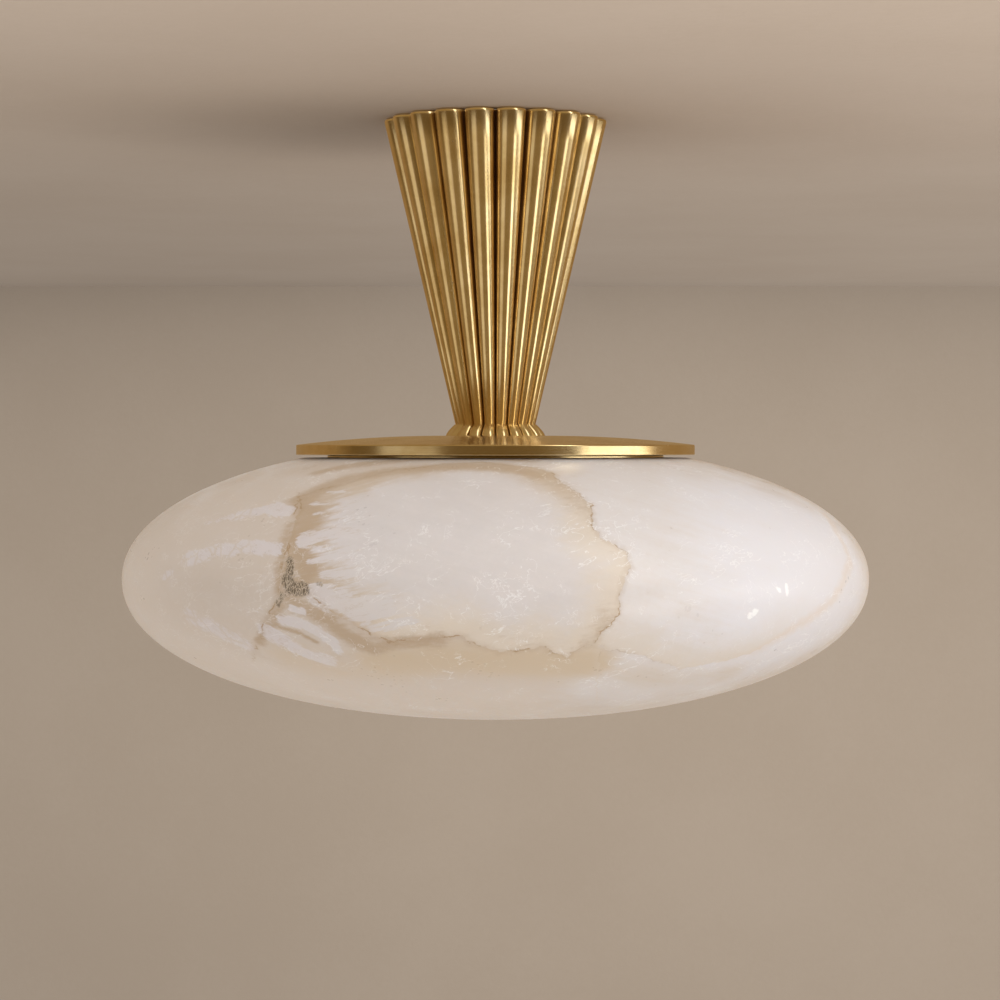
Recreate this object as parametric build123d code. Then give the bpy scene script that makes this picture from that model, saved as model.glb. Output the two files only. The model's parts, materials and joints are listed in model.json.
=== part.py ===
from build123d import *
import os
from math import asin, cos, pi, radians, sin, tan

# Semi flush ceiling light with a hollow alabaster shade, in millimetres.
# The ceiling is the plane z = 0 and the light hangs below it, so depths are counted downwards.
# A depth named ..._depth is a distance below the ceiling, and its z is the same number with a minus.

# fits and gaps
running_clearance = 0.08
bolt_clearance = 0.15
thread_clearance = 0.05
thread_end_gap = 0.2
seat_gap = 0.3
socket_clearance = 0.4
rim_clearance = 0.5
lip_clearance = 1.5
tip_clearance = 25.0
through_cut_length = 9.0
ceiling_shadow_gap = 0.8

# ceiling plate
plate_side_clearance = 4.5
plate_thickness = 2.0
plate_edge_round = 0.4
box_screw_spacing = 69.85
box_slot_width = 4.6
box_slot_length = 12.0
cable_hole_radius = 7.0
cable_hole_x = -21.0
cable_hole_y = 20.0
grommet_bore_radius = 5.0
grommet_lip = 2.0
grommet_lip_thickness = 2.0

# hanger bracket, a U strap under the plate
strap_width = 16.0
strap_thickness = 2.5
strap_inside_width = 36.0
strap_foot_length = 14.0
strap_depth = 44.5
strap_screw_radius = 2.0
screw_head_ratio = 1.9
screw_head_thickness = 2.4
screw_slot_width = 0.9
screw_slot_depth = 1.0

# stem tube and what clamps on it
stem_radius = 5.0
stem_bore_radius = 3.5
stem_top_stand = 3.5
stem_end_stand = 2.0
stem_end_chamfer = 0.5
nut_across_flats = 14.0
nut_height = 5.0
nut_corner_stand = 0.6
washer_radius = 10.0
washer_thickness = 1.5
bush_bore_radius = 1.9
bush_flange_thickness = 1.0
bush_length = 6.0

# reeded cone
reed_count = 20
cone_top_radius = 61.0
cone_bottom_radius = 21.8
cone_length = 165.5
cone_wall = 1.6
cone_web = 3.0
reed_land = 1.0
reed_edge_round = 0.7

# fluted collar
collar_step = 1.9
collar_flare = 3.8
collar_height = 6.1
collar_steps = 4

# domed cap
cap_radius = 109.0
cap_sheet = 1.5
cap_land_margin = 2.5
cap_rise = 4.9
cap_rim_height = 5.5
cap_rim_round = 1.3

# carrier plate and gallery ring
spacer_radius = 9.0
carrier_washer_radius = 12.0
carrier_thickness = 2.0
spigot_radius = 77.92
spigot_wall = 2.0
spigot_length = 12.0
spigot_lead_in = 0.8
gallery_flange_width = 12.0
gallery_flange_thickness = 1.6
gallery_screw_count = 4
gallery_screw_radius = 2.0
gallery_screw_angle = 45.0
gallery_screw_reach = 2.0

# alabaster shade
shade_radius = 203.0
shade_half_height = 75.0
shade_power = 2.1
shade_flat_radius = 105.0
shade_wall = 11.0
shade_lip = 9.4
outline_steps = 10

# neck ring, gaskets and ring nut
seat_band_radius = 92.0
seat_band_thickness = 1.3
neck_wall = 2.5
neck_end_stand = 1.2
gasket_recess = 1.0
gasket_margin = 1.0
lower_gasket_thickness = 1.5
ring_nut_radius = 93.0
ring_nut_height = 6.0
ring_nut_notches = 6
ring_nut_notch_width = 8.0
ring_nut_notch_depth = 4.0

# lamp bracket and lamp holders
lamp_count = 3
lamp_first_angle = 90.0
lamp_tilt = 35.0
hub_radius = 17.0
hub_thickness = 2.0
hub_drop = 10.6
tab_length = 20.0
tab_root_lap = 0.4
tab_width = 18.0
tab_corner_round = 3.0
holder_radius = 9.0
holder_height = 20.0
holder_edge_round = 1.0
socket_length = 15.2
socket_width = 6.0
socket_depth = 10.0
holder_screw_radius = 1.25
holder_screw_spread = 5.5
holder_screw_reach = 4.0
holder_screw_head = 1.6
pin_hole_depth = 6.0

# capsule lamps
lamp_glass_radius = 7.0
lamp_glass_wall = 1.0
lamp_glass_length = 38.0
lamp_collar_thickness = 2.0
lamp_pinch_stand = 2.0
lamp_pin_radius = 1.0
lamp_pin_length = 5.6
lamp_pin_spacing = 9.0
light_stick_width = 4.0
light_stick_thickness = 1.5
light_stick_length = 26.0
light_stick_chips = 4

# wiring
block_x = 21.0
block_y = -19.0
block_width = 16.0
block_length = 26.0
block_height = 12.0
block_corner_round = 1.5
block_ways = 3
block_wire_radius = 2.6
block_wire_depth = 6.0
block_screw_radius = 1.6
block_well_depth = 3.0
fixing_head_depth = 5.0
terminal_screw_sunk = 0.5
earth_x = 19.0
earth_y = 12.0
earth_tag_radius = 4.5
earth_tag_thickness = 0.8
earth_tag_width = 3.0
earth_tag_lap = 1.0
earth_tag_reach = 11.5
earth_tag_angle = 215.0
stem_lead_diameter = 3.0
holder_lead_diameter = 1.3
holder_lead_spread = 0.78
holder_lead_loop = 8.0
holder_lead_straight = 7.1
holder_lead_dip = 9.6
holder_lead_stand = 9.0
stem_lead_leave_x = 3.5
stem_lead_swing = 5.0
stem_lead_return = 1.0
stem_lead_dip = 4.5
stem_lead_drop = 12.0
stem_lead_in = 4.0
earth_lead_diameter = 1.8
earth_lead_leave_x = 8.5
earth_lead_swing = 3.7
earth_lead_run = 7.1
earth_lead_lap = 4.5
earth_lead_stand = 2.0
lead_end_stand = 2.0
stem_lead_share = 1.0
earth_lead_share = 1.6
holder_entry_height = 7.0
holder_entry_depth = 1.5
bend_share = 0.45


def groove_radius(outer_radius):
    """Radius of the grooves' floor on a reeded outline of this outer radius."""
    half_step = pi / reed_count
    land = reed_land * outer_radius / cone_top_radius
    return (outer_radius + land / 2) / (1 + sin(half_step)) * cos(half_step)


# radii that follow from the sizes above
cone_bore_top = groove_radius(cone_top_radius) - cone_wall
cone_bore_bottom = groove_radius(cone_bottom_radius) - cone_wall
plate_radius = cone_bore_top - plate_side_clearance
collar_top_radius = cone_bottom_radius + collar_step
collar_bottom_radius = collar_top_radius + collar_flare
cap_land_radius = collar_bottom_radius + cap_land_margin
spigot_bore = spigot_radius - spigot_wall
neck_bore_radius = spigot_radius + running_clearance
neck_radius = neck_bore_radius + neck_wall
shade_mouth_radius = neck_radius + lip_clearance
gasket_radius = seat_band_radius - gasket_margin - seat_gap

# depths that follow from the sizes above, from the ceiling down
strap_web_top_depth = strap_depth
strap_web_bottom_depth = strap_web_top_depth + strap_thickness
stem_top_depth = strap_web_top_depth - washer_thickness - nut_height - stem_top_stand
cone_top_depth = ceiling_shadow_gap
cone_bottom_depth = cone_top_depth + cone_length
collar_bottom_depth = cone_bottom_depth + collar_height
cap_land_depth = collar_bottom_depth
cap_rim_top_depth = cap_land_depth + cap_rise
cap_rim_bottom_depth = cap_rim_top_depth + cap_rim_height
carrier_top_depth = cap_rim_bottom_depth - carrier_thickness
carrier_bottom_depth = cap_rim_bottom_depth
carrier_nut_bottom_depth = carrier_bottom_depth + washer_thickness + nut_height
hub_top_depth = carrier_nut_bottom_depth + hub_drop
hub_bottom_depth = hub_top_depth + hub_thickness
stem_bottom_depth = hub_bottom_depth + nut_height + stem_end_stand
lead_end_depth = stem_bottom_depth + bush_flange_thickness + lead_end_stand
seat_band_top_depth = carrier_bottom_depth + seat_gap
shade_top_depth = seat_band_top_depth + seat_band_thickness
lip_bottom_depth = shade_top_depth + shade_lip
ring_nut_top_depth = lip_bottom_depth + lower_gasket_thickness
ring_nut_bottom_depth = ring_nut_top_depth + ring_nut_height
neck_bottom_depth = ring_nut_bottom_depth + neck_end_stand


def superellipse_rise(radius, half_width, half_height):
    """Height above the shade's middle of its outline at a radius."""
    return half_height * (1 - (radius / half_width) ** shade_power) ** (1 / shade_power)


shade_middle_depth = shade_top_depth + superellipse_rise(shade_flat_radius, shade_radius, shade_half_height)

# the lamp axes leave the middle of each tab, which leans by the tilt
lamp_axis_out = sin(radians(lamp_tilt))
lamp_axis_down = cos(radians(lamp_tilt))
tab_middle_radius = hub_radius - tab_root_lap + tab_length / 2 * lamp_axis_down
tab_middle_depth = hub_bottom_depth - tab_length / 2 * lamp_axis_out
lamp_pinch_length = socket_depth - socket_clearance + lamp_pinch_stand
lamp_tip = holder_height + lamp_pinch_stand + lamp_collar_thickness + lamp_glass_length
lamp_travel = socket_depth - socket_clearance + lamp_pin_length + seat_gap
lamp_lowest_depth = tab_middle_depth + (lamp_tip - lamp_glass_radius) * lamp_axis_down + lamp_glass_radius
shade_travel = lamp_lowest_depth - seat_band_top_depth + tip_clearance


# shapes used by several pieces

standing = (Align.CENTER, Align.CENTER, Align.MIN)


def solid_disc(radius, top_depth, bottom_depth, x=0.0, y=0.0):
    return Pos(x, y, -bottom_depth) * Cylinder(radius, bottom_depth - top_depth, align=standing)


def ring(outer, inner, top_depth, bottom_depth, x=0.0, y=0.0):
    return solid_disc(outer, top_depth, bottom_depth, x, y) - hole(inner, top_depth, bottom_depth, x, y)


def hole(radius, top_depth, bottom_depth, x=0.0, y=0.0):
    """A round cutter that runs past both faces of what it goes through."""
    return solid_disc(radius, top_depth - 1, bottom_depth + 1, x, y)


def block(x_size, y_size, top_depth, bottom_depth, x=0.0, y=0.0):
    return Pos(x, y, -bottom_depth) * Box(x_size, y_size, bottom_depth - top_depth, align=standing)


def hex_nut(top_depth):
    outline = RegularPolygon(nut_across_flats / 2, 6, major_radius=False)
    body = extrude(outline, nut_height)
    chamfer_radius = nut_across_flats / 2 + nut_corner_stand
    rise = nut_height * 2
    body &= Pos(0, 0, -nut_height) * Cone(chamfer_radius + rise, chamfer_radius, rise, align=standing)
    body -= Pos(0, 0, -1) * Cylinder(stem_radius + thread_clearance, nut_height + 2, align=standing)
    return Pos(0, 0, -top_depth - nut_height) * body


def washer(top_depth, radius=washer_radius):
    return ring(radius, stem_radius + bolt_clearance, top_depth, top_depth + washer_thickness)


def pan_screw(radius, shank, head_thickness=screw_head_thickness):
    """A screw with its head's bearing face at z = 0, its shank upwards and its slot underneath."""
    head_radius = radius * screw_head_ratio
    head = Pos(0, 0, -head_thickness) * Cylinder(head_radius, head_thickness, align=standing)
    head = fillet(head.edges().group_by(Axis.Z)[0], head_thickness * 0.35)
    slot = Pos(0, 0, -head_thickness) * Box(head_radius * 3, screw_slot_width, screw_slot_depth * 2)
    return head - slot + Cylinder(radius, shank, align=standing)


def lead_tube(points, diameter):
    """A lead along straight runs joined by arcs, each as large as its two runs allow."""
    corners = [Vector(*p) for p in points]
    radii = []
    for before, at, after in zip(corners, corners[1:], corners[2:]):
        first, second = at - before, after - at
        turn = radians(first.get_angle(second))
        radii.append(bend_share * min(first.length, second.length) / tan(turn / 2))
    path = FilletPolyline(*corners, radius=radii)
    section = Plane(origin=path @ 0, z_dir=path % 0) * Circle(diameter / 2)
    print("lead", diameter, "radii", [round(r, 1) for r in radii], "length", round(path.length, 1))
    return sweep(section, path=path)


def lobed_face(outer_radius, depth, trim=0.0):
    """The reeded outline, half-round reeds with a thin flat land in each groove."""
    half_step = pi / reed_count
    land = reed_land * outer_radius / cone_top_radius
    centre_radius = (outer_radius + land / 2) / (1 + sin(half_step))
    reed_radius = outer_radius - centre_radius
    edges = []
    starts, ends, crowns = [], [], []
    for k in range(reed_count):
        angle = -pi / 2 + (2 * k + 1) * half_step
        out, along = Vector(cos(angle), sin(angle)), Vector(-sin(angle), cos(angle))
        middle = out * centre_radius
        starts.append(middle - along * (reed_radius - trim))
        ends.append(middle + along * (reed_radius - trim))
        crowns.append(middle + out * (reed_radius - trim))
    for k in range(reed_count):
        edges.append(ThreePointArc(starts[k], crowns[k], ends[k]))
        edges.append(Line(ends[k], starts[(k + 1) % reed_count]))
    return Pos(0, 0, -depth) * make_face(edges)


def around(angle, shape):
    return Rot(0, 0, angle) * shape


def revolved(edges):
    return revolve(Plane.XZ * make_face(edges), Axis.Z)


# ceiling plate and what is fixed under it

def strap_screw_y():
    return strap_inside_width / 2 + strap_thickness + strap_foot_length / 2


def ceiling_plate():
    body = solid_disc(plate_radius, 0, plate_thickness)
    body = fillet(body.edges(), plate_edge_round)
    for side in (-1, 1):
        slot = extrude(SlotOverall(box_slot_length, box_slot_width), plate_thickness + 2)
        body -= Pos(side * box_screw_spacing / 2, 0, -plate_thickness - 1) * slot
        body -= hole(strap_screw_radius + thread_clearance, 0, plate_thickness, 0, side * strap_screw_y())
    body -= hole(cable_hole_radius, 0, plate_thickness, cable_hole_x, cable_hole_y)
    body -= hole(strap_screw_radius + thread_clearance, 0, plate_thickness, earth_x, earth_y)
    return body - hole(block_screw_radius + thread_clearance, 0, plate_thickness, block_x, fixing_screw_y())


def cable_grommet():
    inner = cable_hole_radius - thread_clearance
    bottom = plate_thickness + grommet_lip_thickness
    body = solid_disc(inner, 0, bottom, cable_hole_x, cable_hole_y)
    lip = solid_disc(cable_hole_radius + grommet_lip, plate_thickness, bottom, cable_hole_x, cable_hole_y)
    lip = fillet(lip.edges().group_by(Axis.Z)[0], grommet_lip_thickness * 0.4)
    return body + lip - hole(grommet_bore_radius, 0, bottom, cable_hole_x, cable_hole_y)


def hanger_bracket():
    half = strap_inside_width / 2
    foot_top, foot_bottom = plate_thickness, plate_thickness + strap_thickness
    web_width = strap_inside_width + 2 * strap_thickness
    body = block(strap_width, web_width, strap_web_top_depth, strap_web_bottom_depth)
    for side in (-1, 1):
        body += block(strap_width, strap_thickness, foot_top, strap_web_bottom_depth,
                      0, side * (half + strap_thickness / 2))
        body += block(strap_width, strap_thickness + strap_foot_length, foot_top, foot_bottom,
                      0, side * (half + (strap_thickness + strap_foot_length) / 2))
    bends = body.edges().filter_by(Axis.X).filter_by(
        lambda e: abs(e.center().Z + strap_web_bottom_depth) < 0.01)
    body = fillet(bends, strap_thickness * 0.8)
    for side in (-1, 1):
        body -= hole(strap_screw_radius + bolt_clearance, foot_top, foot_bottom, 0, side * strap_screw_y())
    return body - hole(stem_radius + bolt_clearance, strap_web_top_depth, strap_web_bottom_depth)


def bracket_screw():
    shank = strap_thickness + plate_thickness - thread_end_gap
    screw = pan_screw(strap_screw_radius, shank)
    seat = -(plate_thickness + strap_thickness)
    return Compound(children=[Pos(0, side * strap_screw_y(), seat) * screw for side in (-1, 1)])


# terminal block and earth

def wire_z():
    return -(plate_thickness + block_height / 2)


def fixing_screw_y():
    """The fixing screw stands between the first two ways."""
    return (way_y(0) + way_y(1)) / 2


def terminal_block():
    top, bottom = plate_thickness, plate_thickness + block_height
    body = block(block_width, block_length, top, bottom, block_x, block_y)
    body = fillet(body.edges().filter_by(Axis.Z), block_corner_round)
    for k in range(block_ways):
        for side in (-1, 1):
            bore = Cylinder(block_wire_radius, block_wire_depth * 2, rotation=(0, 90, 0))
            body -= Pos(block_x + side * block_width / 2, way_y(k), wire_z()) * bore
            body -= solid_disc(block_screw_radius + thread_clearance, bottom - block_well_depth, bottom + 1,
                               block_x + side * block_width / 4, way_y(k))
    y = fixing_screw_y()
    body -= hole(block_screw_radius + bolt_clearance, top, bottom, block_x, y)
    head_radius = block_screw_radius * screw_head_ratio + socket_clearance
    return body - solid_disc(head_radius, bottom - fixing_head_depth, bottom + 1, block_x, y)


def way_y(k):
    """Each way of the block has its own wires, at an equal pitch along it."""
    pitch = block_length / block_ways
    return block_y + (k - (block_ways - 1) / 2) * pitch


def terminal_screw():
    screws = []
    bottom = plate_thickness + block_height
    head, slot_length = bottom - terminal_screw_sunk, block_screw_radius * 3
    for k in range(block_ways):
        for side in (-1, 1):
            x, y = block_x + side * block_width / 4, way_y(k)
            screw = solid_disc(block_screw_radius, bottom - block_well_depth, head, x, y)
            slot = block(screw_slot_width, slot_length, head - screw_slot_depth, bottom, x, y)
            screws.append(screw - slot)
    return Compound(children=screws)


def terminal_fixing_screw():
    seat = plate_thickness + block_height - fixing_head_depth
    return Pos(block_x, fixing_screw_y(), -seat) * pan_screw(block_screw_radius, seat - thread_end_gap)


def earth_tag():
    """A ring under the earth screw's head, with a tongue towards its lead."""
    top, bottom = plate_thickness, plate_thickness + earth_tag_thickness
    body = ring(earth_tag_radius, strap_screw_radius + bolt_clearance, top, bottom)
    inner = strap_screw_radius + earth_tag_lap
    body += block(earth_tag_reach - inner, earth_tag_width, top, bottom, (earth_tag_reach + inner) / 2, 0)
    return Pos(earth_x, earth_y, 0) * (Rot(0, 0, earth_tag_angle) * body)


def earth_screw():
    seat = plate_thickness + earth_tag_thickness
    return Pos(earth_x, earth_y, -seat) * pan_screw(strap_screw_radius, seat - thread_end_gap)


def earth_lead():
    turn = radians(earth_tag_angle)
    start_x = block_x - block_width / 2 + block_wire_depth
    y, z = way_y(block_ways - 1), wire_z() + earth_lead_share
    end_z = -(plate_thickness + earth_tag_thickness + earth_lead_diameter / 2)
    near, far = earth_tag_reach - earth_lead_lap, earth_tag_reach + earth_lead_stand
    points = [
        (start_x, y, z),
        (earth_lead_leave_x, y, z),
        (earth_lead_leave_x - earth_lead_swing, y + earth_lead_run, z + 0.8),
        (earth_x + far * cos(turn), earth_y + far * sin(turn), end_z - 0.5),
        (earth_x + near * cos(turn), earth_y + near * sin(turn), end_z),
    ]
    return lead_tube(points, earth_lead_diameter)


# stem tube and its nuts

def stem_tube():
    body = ring(stem_radius, stem_bore_radius, stem_top_depth, stem_bottom_depth)
    outer_edges = body.edges().filter_by(GeomType.CIRCLE).sort_by(SortBy.RADIUS)[-2:]
    return chamfer(outer_edges, stem_end_chamfer)


def tube_bush():
    """A plastic bush in each end of the tube, so that its edge can't cut the lead."""
    barrel_radius, flange = stem_bore_radius - thread_clearance, bush_flange_thickness
    top, bottom = stem_top_depth, stem_bottom_depth
    upper = ring(stem_radius, bush_bore_radius, top - flange, top)
    upper += ring(barrel_radius, bush_bore_radius, top - flange, top + bush_length)
    lower = ring(stem_radius, bush_bore_radius, bottom, bottom + flange)
    lower += ring(barrel_radius, bush_bore_radius, bottom - bush_length, bottom + flange)
    return Compound(children=[upper, lower])


def bracket_nut():
    upper = hex_nut(strap_web_top_depth - washer_thickness - nut_height)
    lower = hex_nut(strap_web_bottom_depth + washer_thickness)
    return Compound(children=[upper, lower])


def bracket_washer():
    upper = washer(strap_web_top_depth - washer_thickness)
    return Compound(children=[upper, washer(strap_web_bottom_depth)])


def cone_nut():
    return hex_nut(cone_bottom_depth - cone_web - washer_thickness - nut_height)


def cone_washer():
    return washer(cone_bottom_depth - cone_web - washer_thickness)


# cone, collar and cap

def cone_shell():
    sections = [
        lobed_face(cone_top_radius, cone_top_depth, reed_edge_round),
        lobed_face(cone_top_radius, cone_top_depth + reed_edge_round),
        lobed_face(cone_bottom_radius, cone_bottom_depth),
    ]
    body = loft(sections, ruled=True)
    bore_height = cone_length - cone_web
    bore = Cone(cone_bore_bottom, cone_bore_top, bore_height, align=standing)
    body -= Pos(0, 0, -cone_bottom_depth + cone_web) * bore
    return body - hole(stem_radius + bolt_clearance, cone_bottom_depth - cone_web, cone_bottom_depth)


def collar_ring():
    sections = []
    for k in range(collar_steps + 1):
        sweep_angle = pi / 2 * k / collar_steps
        radius = collar_top_radius + (collar_bottom_radius - collar_top_radius) * sin(sweep_angle)
        depth = cone_bottom_depth + collar_height * (1 - cos(sweep_angle))
        sections.append(lobed_face(radius, depth))
    body = loft(sections, ruled=True)
    return body - hole(stem_radius + bolt_clearance, cone_bottom_depth, collar_bottom_depth)


def dome_cap():
    bore = stem_radius + bolt_clearance
    land, sheet, corner = cap_land_radius, cap_sheet, cap_rim_round
    top, shoulder, bottom = -cap_land_depth, -cap_rim_top_depth, -cap_rim_bottom_depth
    inner = cap_radius - sheet
    outer_dome = TangentArc((land, top), (cap_radius - corner, shoulder), tangent=(1, 0))
    outer_corner = RadiusArc((cap_radius - corner, shoulder), (cap_radius, shoulder - corner), corner)
    inner_dome = TangentArc((land, top - sheet), (inner - corner, shoulder - sheet), tangent=(1, 0))
    edges = [
        Line((bore, top), (land, top)),
        outer_dome,
        outer_corner,
        Line((cap_radius, shoulder - corner), (cap_radius, bottom)),
        Line((cap_radius, bottom), (inner, bottom)),
        Line((inner, bottom), (inner, shoulder - sheet - corner)),
        Line((inner, shoulder - sheet - corner), (inner - corner, shoulder - sheet)),
        inner_dome,
        Line((land, top - sheet), (bore, top - sheet)),
        Line((bore, top - sheet), (bore, top)),
    ]
    return revolved(edges)


def crown_spacer():
    return ring(spacer_radius, stem_radius + bolt_clearance, cap_land_depth + cap_sheet, carrier_top_depth)


# carrier plate, gallery ring and their fixings

def gallery_pitch_radius():
    return spigot_bore - gallery_flange_width / 2


def gallery_screw_angles():
    return [gallery_screw_angle + 360 * k / gallery_screw_count for k in range(gallery_screw_count)]


def carrier_plate():
    top, bottom = carrier_top_depth, carrier_bottom_depth
    body = ring(cap_radius - cap_sheet - rim_clearance, stem_radius + bolt_clearance, top, bottom)
    thread = hole(gallery_screw_radius + thread_clearance, top, bottom, gallery_pitch_radius())
    for angle in gallery_screw_angles():
        body -= around(angle, thread)
    return body


def carrier_washer():
    return washer(carrier_bottom_depth, carrier_washer_radius)


def carrier_nut():
    return hex_nut(carrier_bottom_depth + washer_thickness)


def gallery_ring():
    """The spigot that carries the shade; its thread is drawn as a plain cylinder."""
    top, flange_bottom = carrier_bottom_depth, carrier_bottom_depth + gallery_flange_thickness
    spigot = ring(spigot_radius, spigot_bore, top, top + spigot_length)
    spigot = chamfer(spigot.edges().group_by(Axis.Z)[0].sort_by(SortBy.RADIUS)[-1], spigot_lead_in)
    flange_inner = spigot_bore - gallery_flange_width
    body = spigot + ring(spigot_bore + spigot_wall / 2, flange_inner, top, flange_bottom)
    clearance_hole = hole(gallery_screw_radius + bolt_clearance, top, flange_bottom, gallery_pitch_radius())
    for angle in gallery_screw_angles():
        body -= around(angle, clearance_hole)
    return body


def gallery_screw():
    shank = gallery_flange_thickness + carrier_thickness + gallery_screw_reach
    seat = carrier_bottom_depth + gallery_flange_thickness
    screw = Pos(gallery_pitch_radius(), 0, -seat) * pan_screw(gallery_screw_radius, shank)
    return Compound(children=[around(angle, screw) for angle in gallery_screw_angles()])


# lamp bracket, holders and lamps

def lamp_place(k):
    """The frame of one lamp: origin on its tab's underside, z along the lamp, away from the tab."""
    turn = radians(lamp_first_angle + 360 * k / lamp_count)
    out = Vector(cos(turn), sin(turn), 0)
    origin = out * tab_middle_radius + Vector(0, 0, -tab_middle_depth)
    axis = out * lamp_axis_out + Vector(0, 0, -lamp_axis_down)
    across = Vector(-sin(turn), cos(turn), 0)
    return Plane(origin=origin, x_dir=across, z_dir=axis).location


def upright(shape, bottom):
    return Pos(0, 0, bottom) * shape


def lamp_bracket():
    body = solid_disc(hub_radius, hub_top_depth, hub_bottom_depth)
    for k in range(lamp_count):
        tab = Box(tab_width, tab_length, hub_thickness, align=(Align.CENTER, Align.CENTER, Align.MAX))
        tab = fillet(tab.edges().filter_by(Axis.Z), tab_corner_round)
        screw_hole = Cylinder(holder_screw_radius + bolt_clearance, through_cut_length)
        for side in (-1, 1):
            tab -= Pos(side * holder_screw_spread, 0, 0) * screw_hole
        body += lamp_place(k) * tab
    return body - hole(stem_radius + bolt_clearance, hub_top_depth, hub_bottom_depth)


def lamp_bracket_nut():
    return Compound(children=[hex_nut(hub_top_depth - nut_height), hex_nut(hub_bottom_depth)])


def lamp_holder():
    body = Cylinder(holder_radius, holder_height, align=standing)
    body = fillet(body.edges().group_by(Axis.Z)[-1], holder_edge_round)
    socket = Box(socket_length, socket_width, socket_depth + 1, align=standing)
    body -= upright(socket, holder_height - socket_depth)
    for side in (-1, 1):
        pin_x = side * lamp_pin_spacing / 2
        pin_hole = Cylinder(lamp_pin_radius + socket_clearance, pin_hole_depth + 1, align=standing)
        body -= Pos(pin_x, 0, holder_height - socket_depth - pin_hole_depth) * pin_hole
        screw_hole = Cylinder(holder_screw_radius + thread_clearance, holder_screw_reach + 1, align=standing)
        body -= Pos(side * holder_screw_spread, 0, -1) * screw_hole
    entry = Cylinder(holder_lead_diameter / 2 + bolt_clearance, holder_entry_depth * 2, rotation=(90, 0, 0))
    return body - Pos(0, -holder_radius, holder_entry_height) * entry


def holder_screws():
    screw = pan_screw(holder_screw_radius, holder_screw_reach + hub_thickness, holder_screw_head)
    places = [Pos(side * holder_screw_spread, 0, -hub_thickness) for side in (-1, 1)]
    return Compound(children=[lamp_place(k) * place * screw for k in range(lamp_count) for place in places])


def lamp_base():
    """The flat pinch that plugs into the holder, and the round collar that the glass stands on."""
    length, width = socket_length - 2 * socket_clearance, socket_width - 2 * socket_clearance
    start = holder_height - socket_depth + socket_clearance
    pinch = Box(length, width, lamp_pinch_length, align=standing)
    pinch = fillet(pinch.edges().filter_by(Axis.Z), width * 0.2)
    collar = Cylinder(lamp_glass_radius, lamp_collar_thickness, align=standing)
    return upright(pinch, start) + upright(collar, start + lamp_pinch_length)


def lamp_pins():
    start = holder_height - socket_depth + socket_clearance
    pin = Cylinder(lamp_pin_radius, lamp_pin_length, align=(Align.CENTER, Align.CENTER, Align.MAX))
    pin = fillet(pin.edges().group_by(Axis.Z)[0], lamp_pin_radius * 0.6)
    return [Pos(side * lamp_pin_spacing / 2, 0, start) * pin for side in (-1, 1)]


def lamp_glass():
    """A thin capsule, round at its far end, open where it stands on the base."""
    foot = holder_height + lamp_pinch_stand + lamp_collar_thickness
    straight = lamp_glass_length - lamp_glass_radius
    inner = lamp_glass_radius - lamp_glass_wall
    body = Cylinder(lamp_glass_radius, straight, align=standing)
    body += Pos(0, 0, straight) * Sphere(lamp_glass_radius)
    body -= upright(Cylinder(inner, straight + 1, align=standing), -1) + Pos(0, 0, straight) * Sphere(inner)
    return upright(body, foot)


def lamp_light_stick():
    """The light strip inside the glass, with a row of chips on each face."""
    foot = holder_height + lamp_pinch_stand + lamp_collar_thickness
    body = Box(light_stick_width, light_stick_thickness, light_stick_length, align=standing)
    pitch = light_stick_length / light_stick_chips
    for k in range(light_stick_chips):
        for side in (-1, 1):
            chip = Box(light_stick_width * 0.6, 0.8, pitch * 0.6)
            body += Pos(0, side * (light_stick_thickness / 2 + 0.3), (k + 0.5) * pitch) * chip
    return upright(body, foot)


# shade and what holds its lip

def shade_outline(half_width, half_height, first):
    """Half of a superellipse, from the turn of its flat's edge, round the belly and down to the axis."""
    points = []
    for k in range(outline_steps):
        turn = first - (first + pi / 2) * k / outline_steps
        side = 1 if turn > 0 else -1
        across = half_width * cos(turn) ** (2 / shade_power)
        up = side * half_height * abs(sin(turn)) ** (2 / shade_power)
        points.append((across, up - shade_middle_depth))
    points.append((0.0, -half_height - shade_middle_depth))
    return points


def shade_solid(half_width, half_height, top_depth):
    """A solid lens with a flat top."""
    first = asin(((shade_middle_depth - top_depth) / half_height) ** (shade_power / 2))
    points = shade_outline(half_width, half_height, first)
    leaving = (half_width * sin(first), -half_height * cos(first))
    belly = Spline(*points, tangents=[leaving, (-1, 0)])
    edges = [Line((0, -top_depth), points[0]), belly, Line(points[-1], (0, -top_depth))]
    return revolved(edges)


def alabaster_shade():
    body = shade_solid(shade_radius, shade_half_height, shade_top_depth)
    hollow = shade_solid(shade_radius - shade_wall, shade_half_height - shade_wall, lip_bottom_depth)
    body -= hollow
    body -= hole(shade_mouth_radius, shade_top_depth, lip_bottom_depth)
    return body - solid_disc(gasket_radius + seat_gap, shade_top_depth - 1, shade_top_depth + gasket_recess)


def neck_ring():
    band_bottom = seat_band_top_depth + seat_band_thickness
    band = solid_disc(seat_band_radius, seat_band_top_depth, band_bottom)
    band = fillet(band.edges(), seat_band_thickness * 0.25)
    body = band + solid_disc(neck_radius, seat_band_top_depth + seat_band_thickness / 2, neck_bottom_depth)
    return body - hole(neck_bore_radius, seat_band_top_depth, neck_bottom_depth)


def upper_gasket():
    return ring(gasket_radius, neck_radius + seat_gap, shade_top_depth, shade_top_depth + gasket_recess)


def lower_gasket():
    outer, inner = ring_nut_radius + gasket_margin, neck_radius + seat_gap
    return ring(outer, inner, lip_bottom_depth, ring_nut_top_depth)


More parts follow.
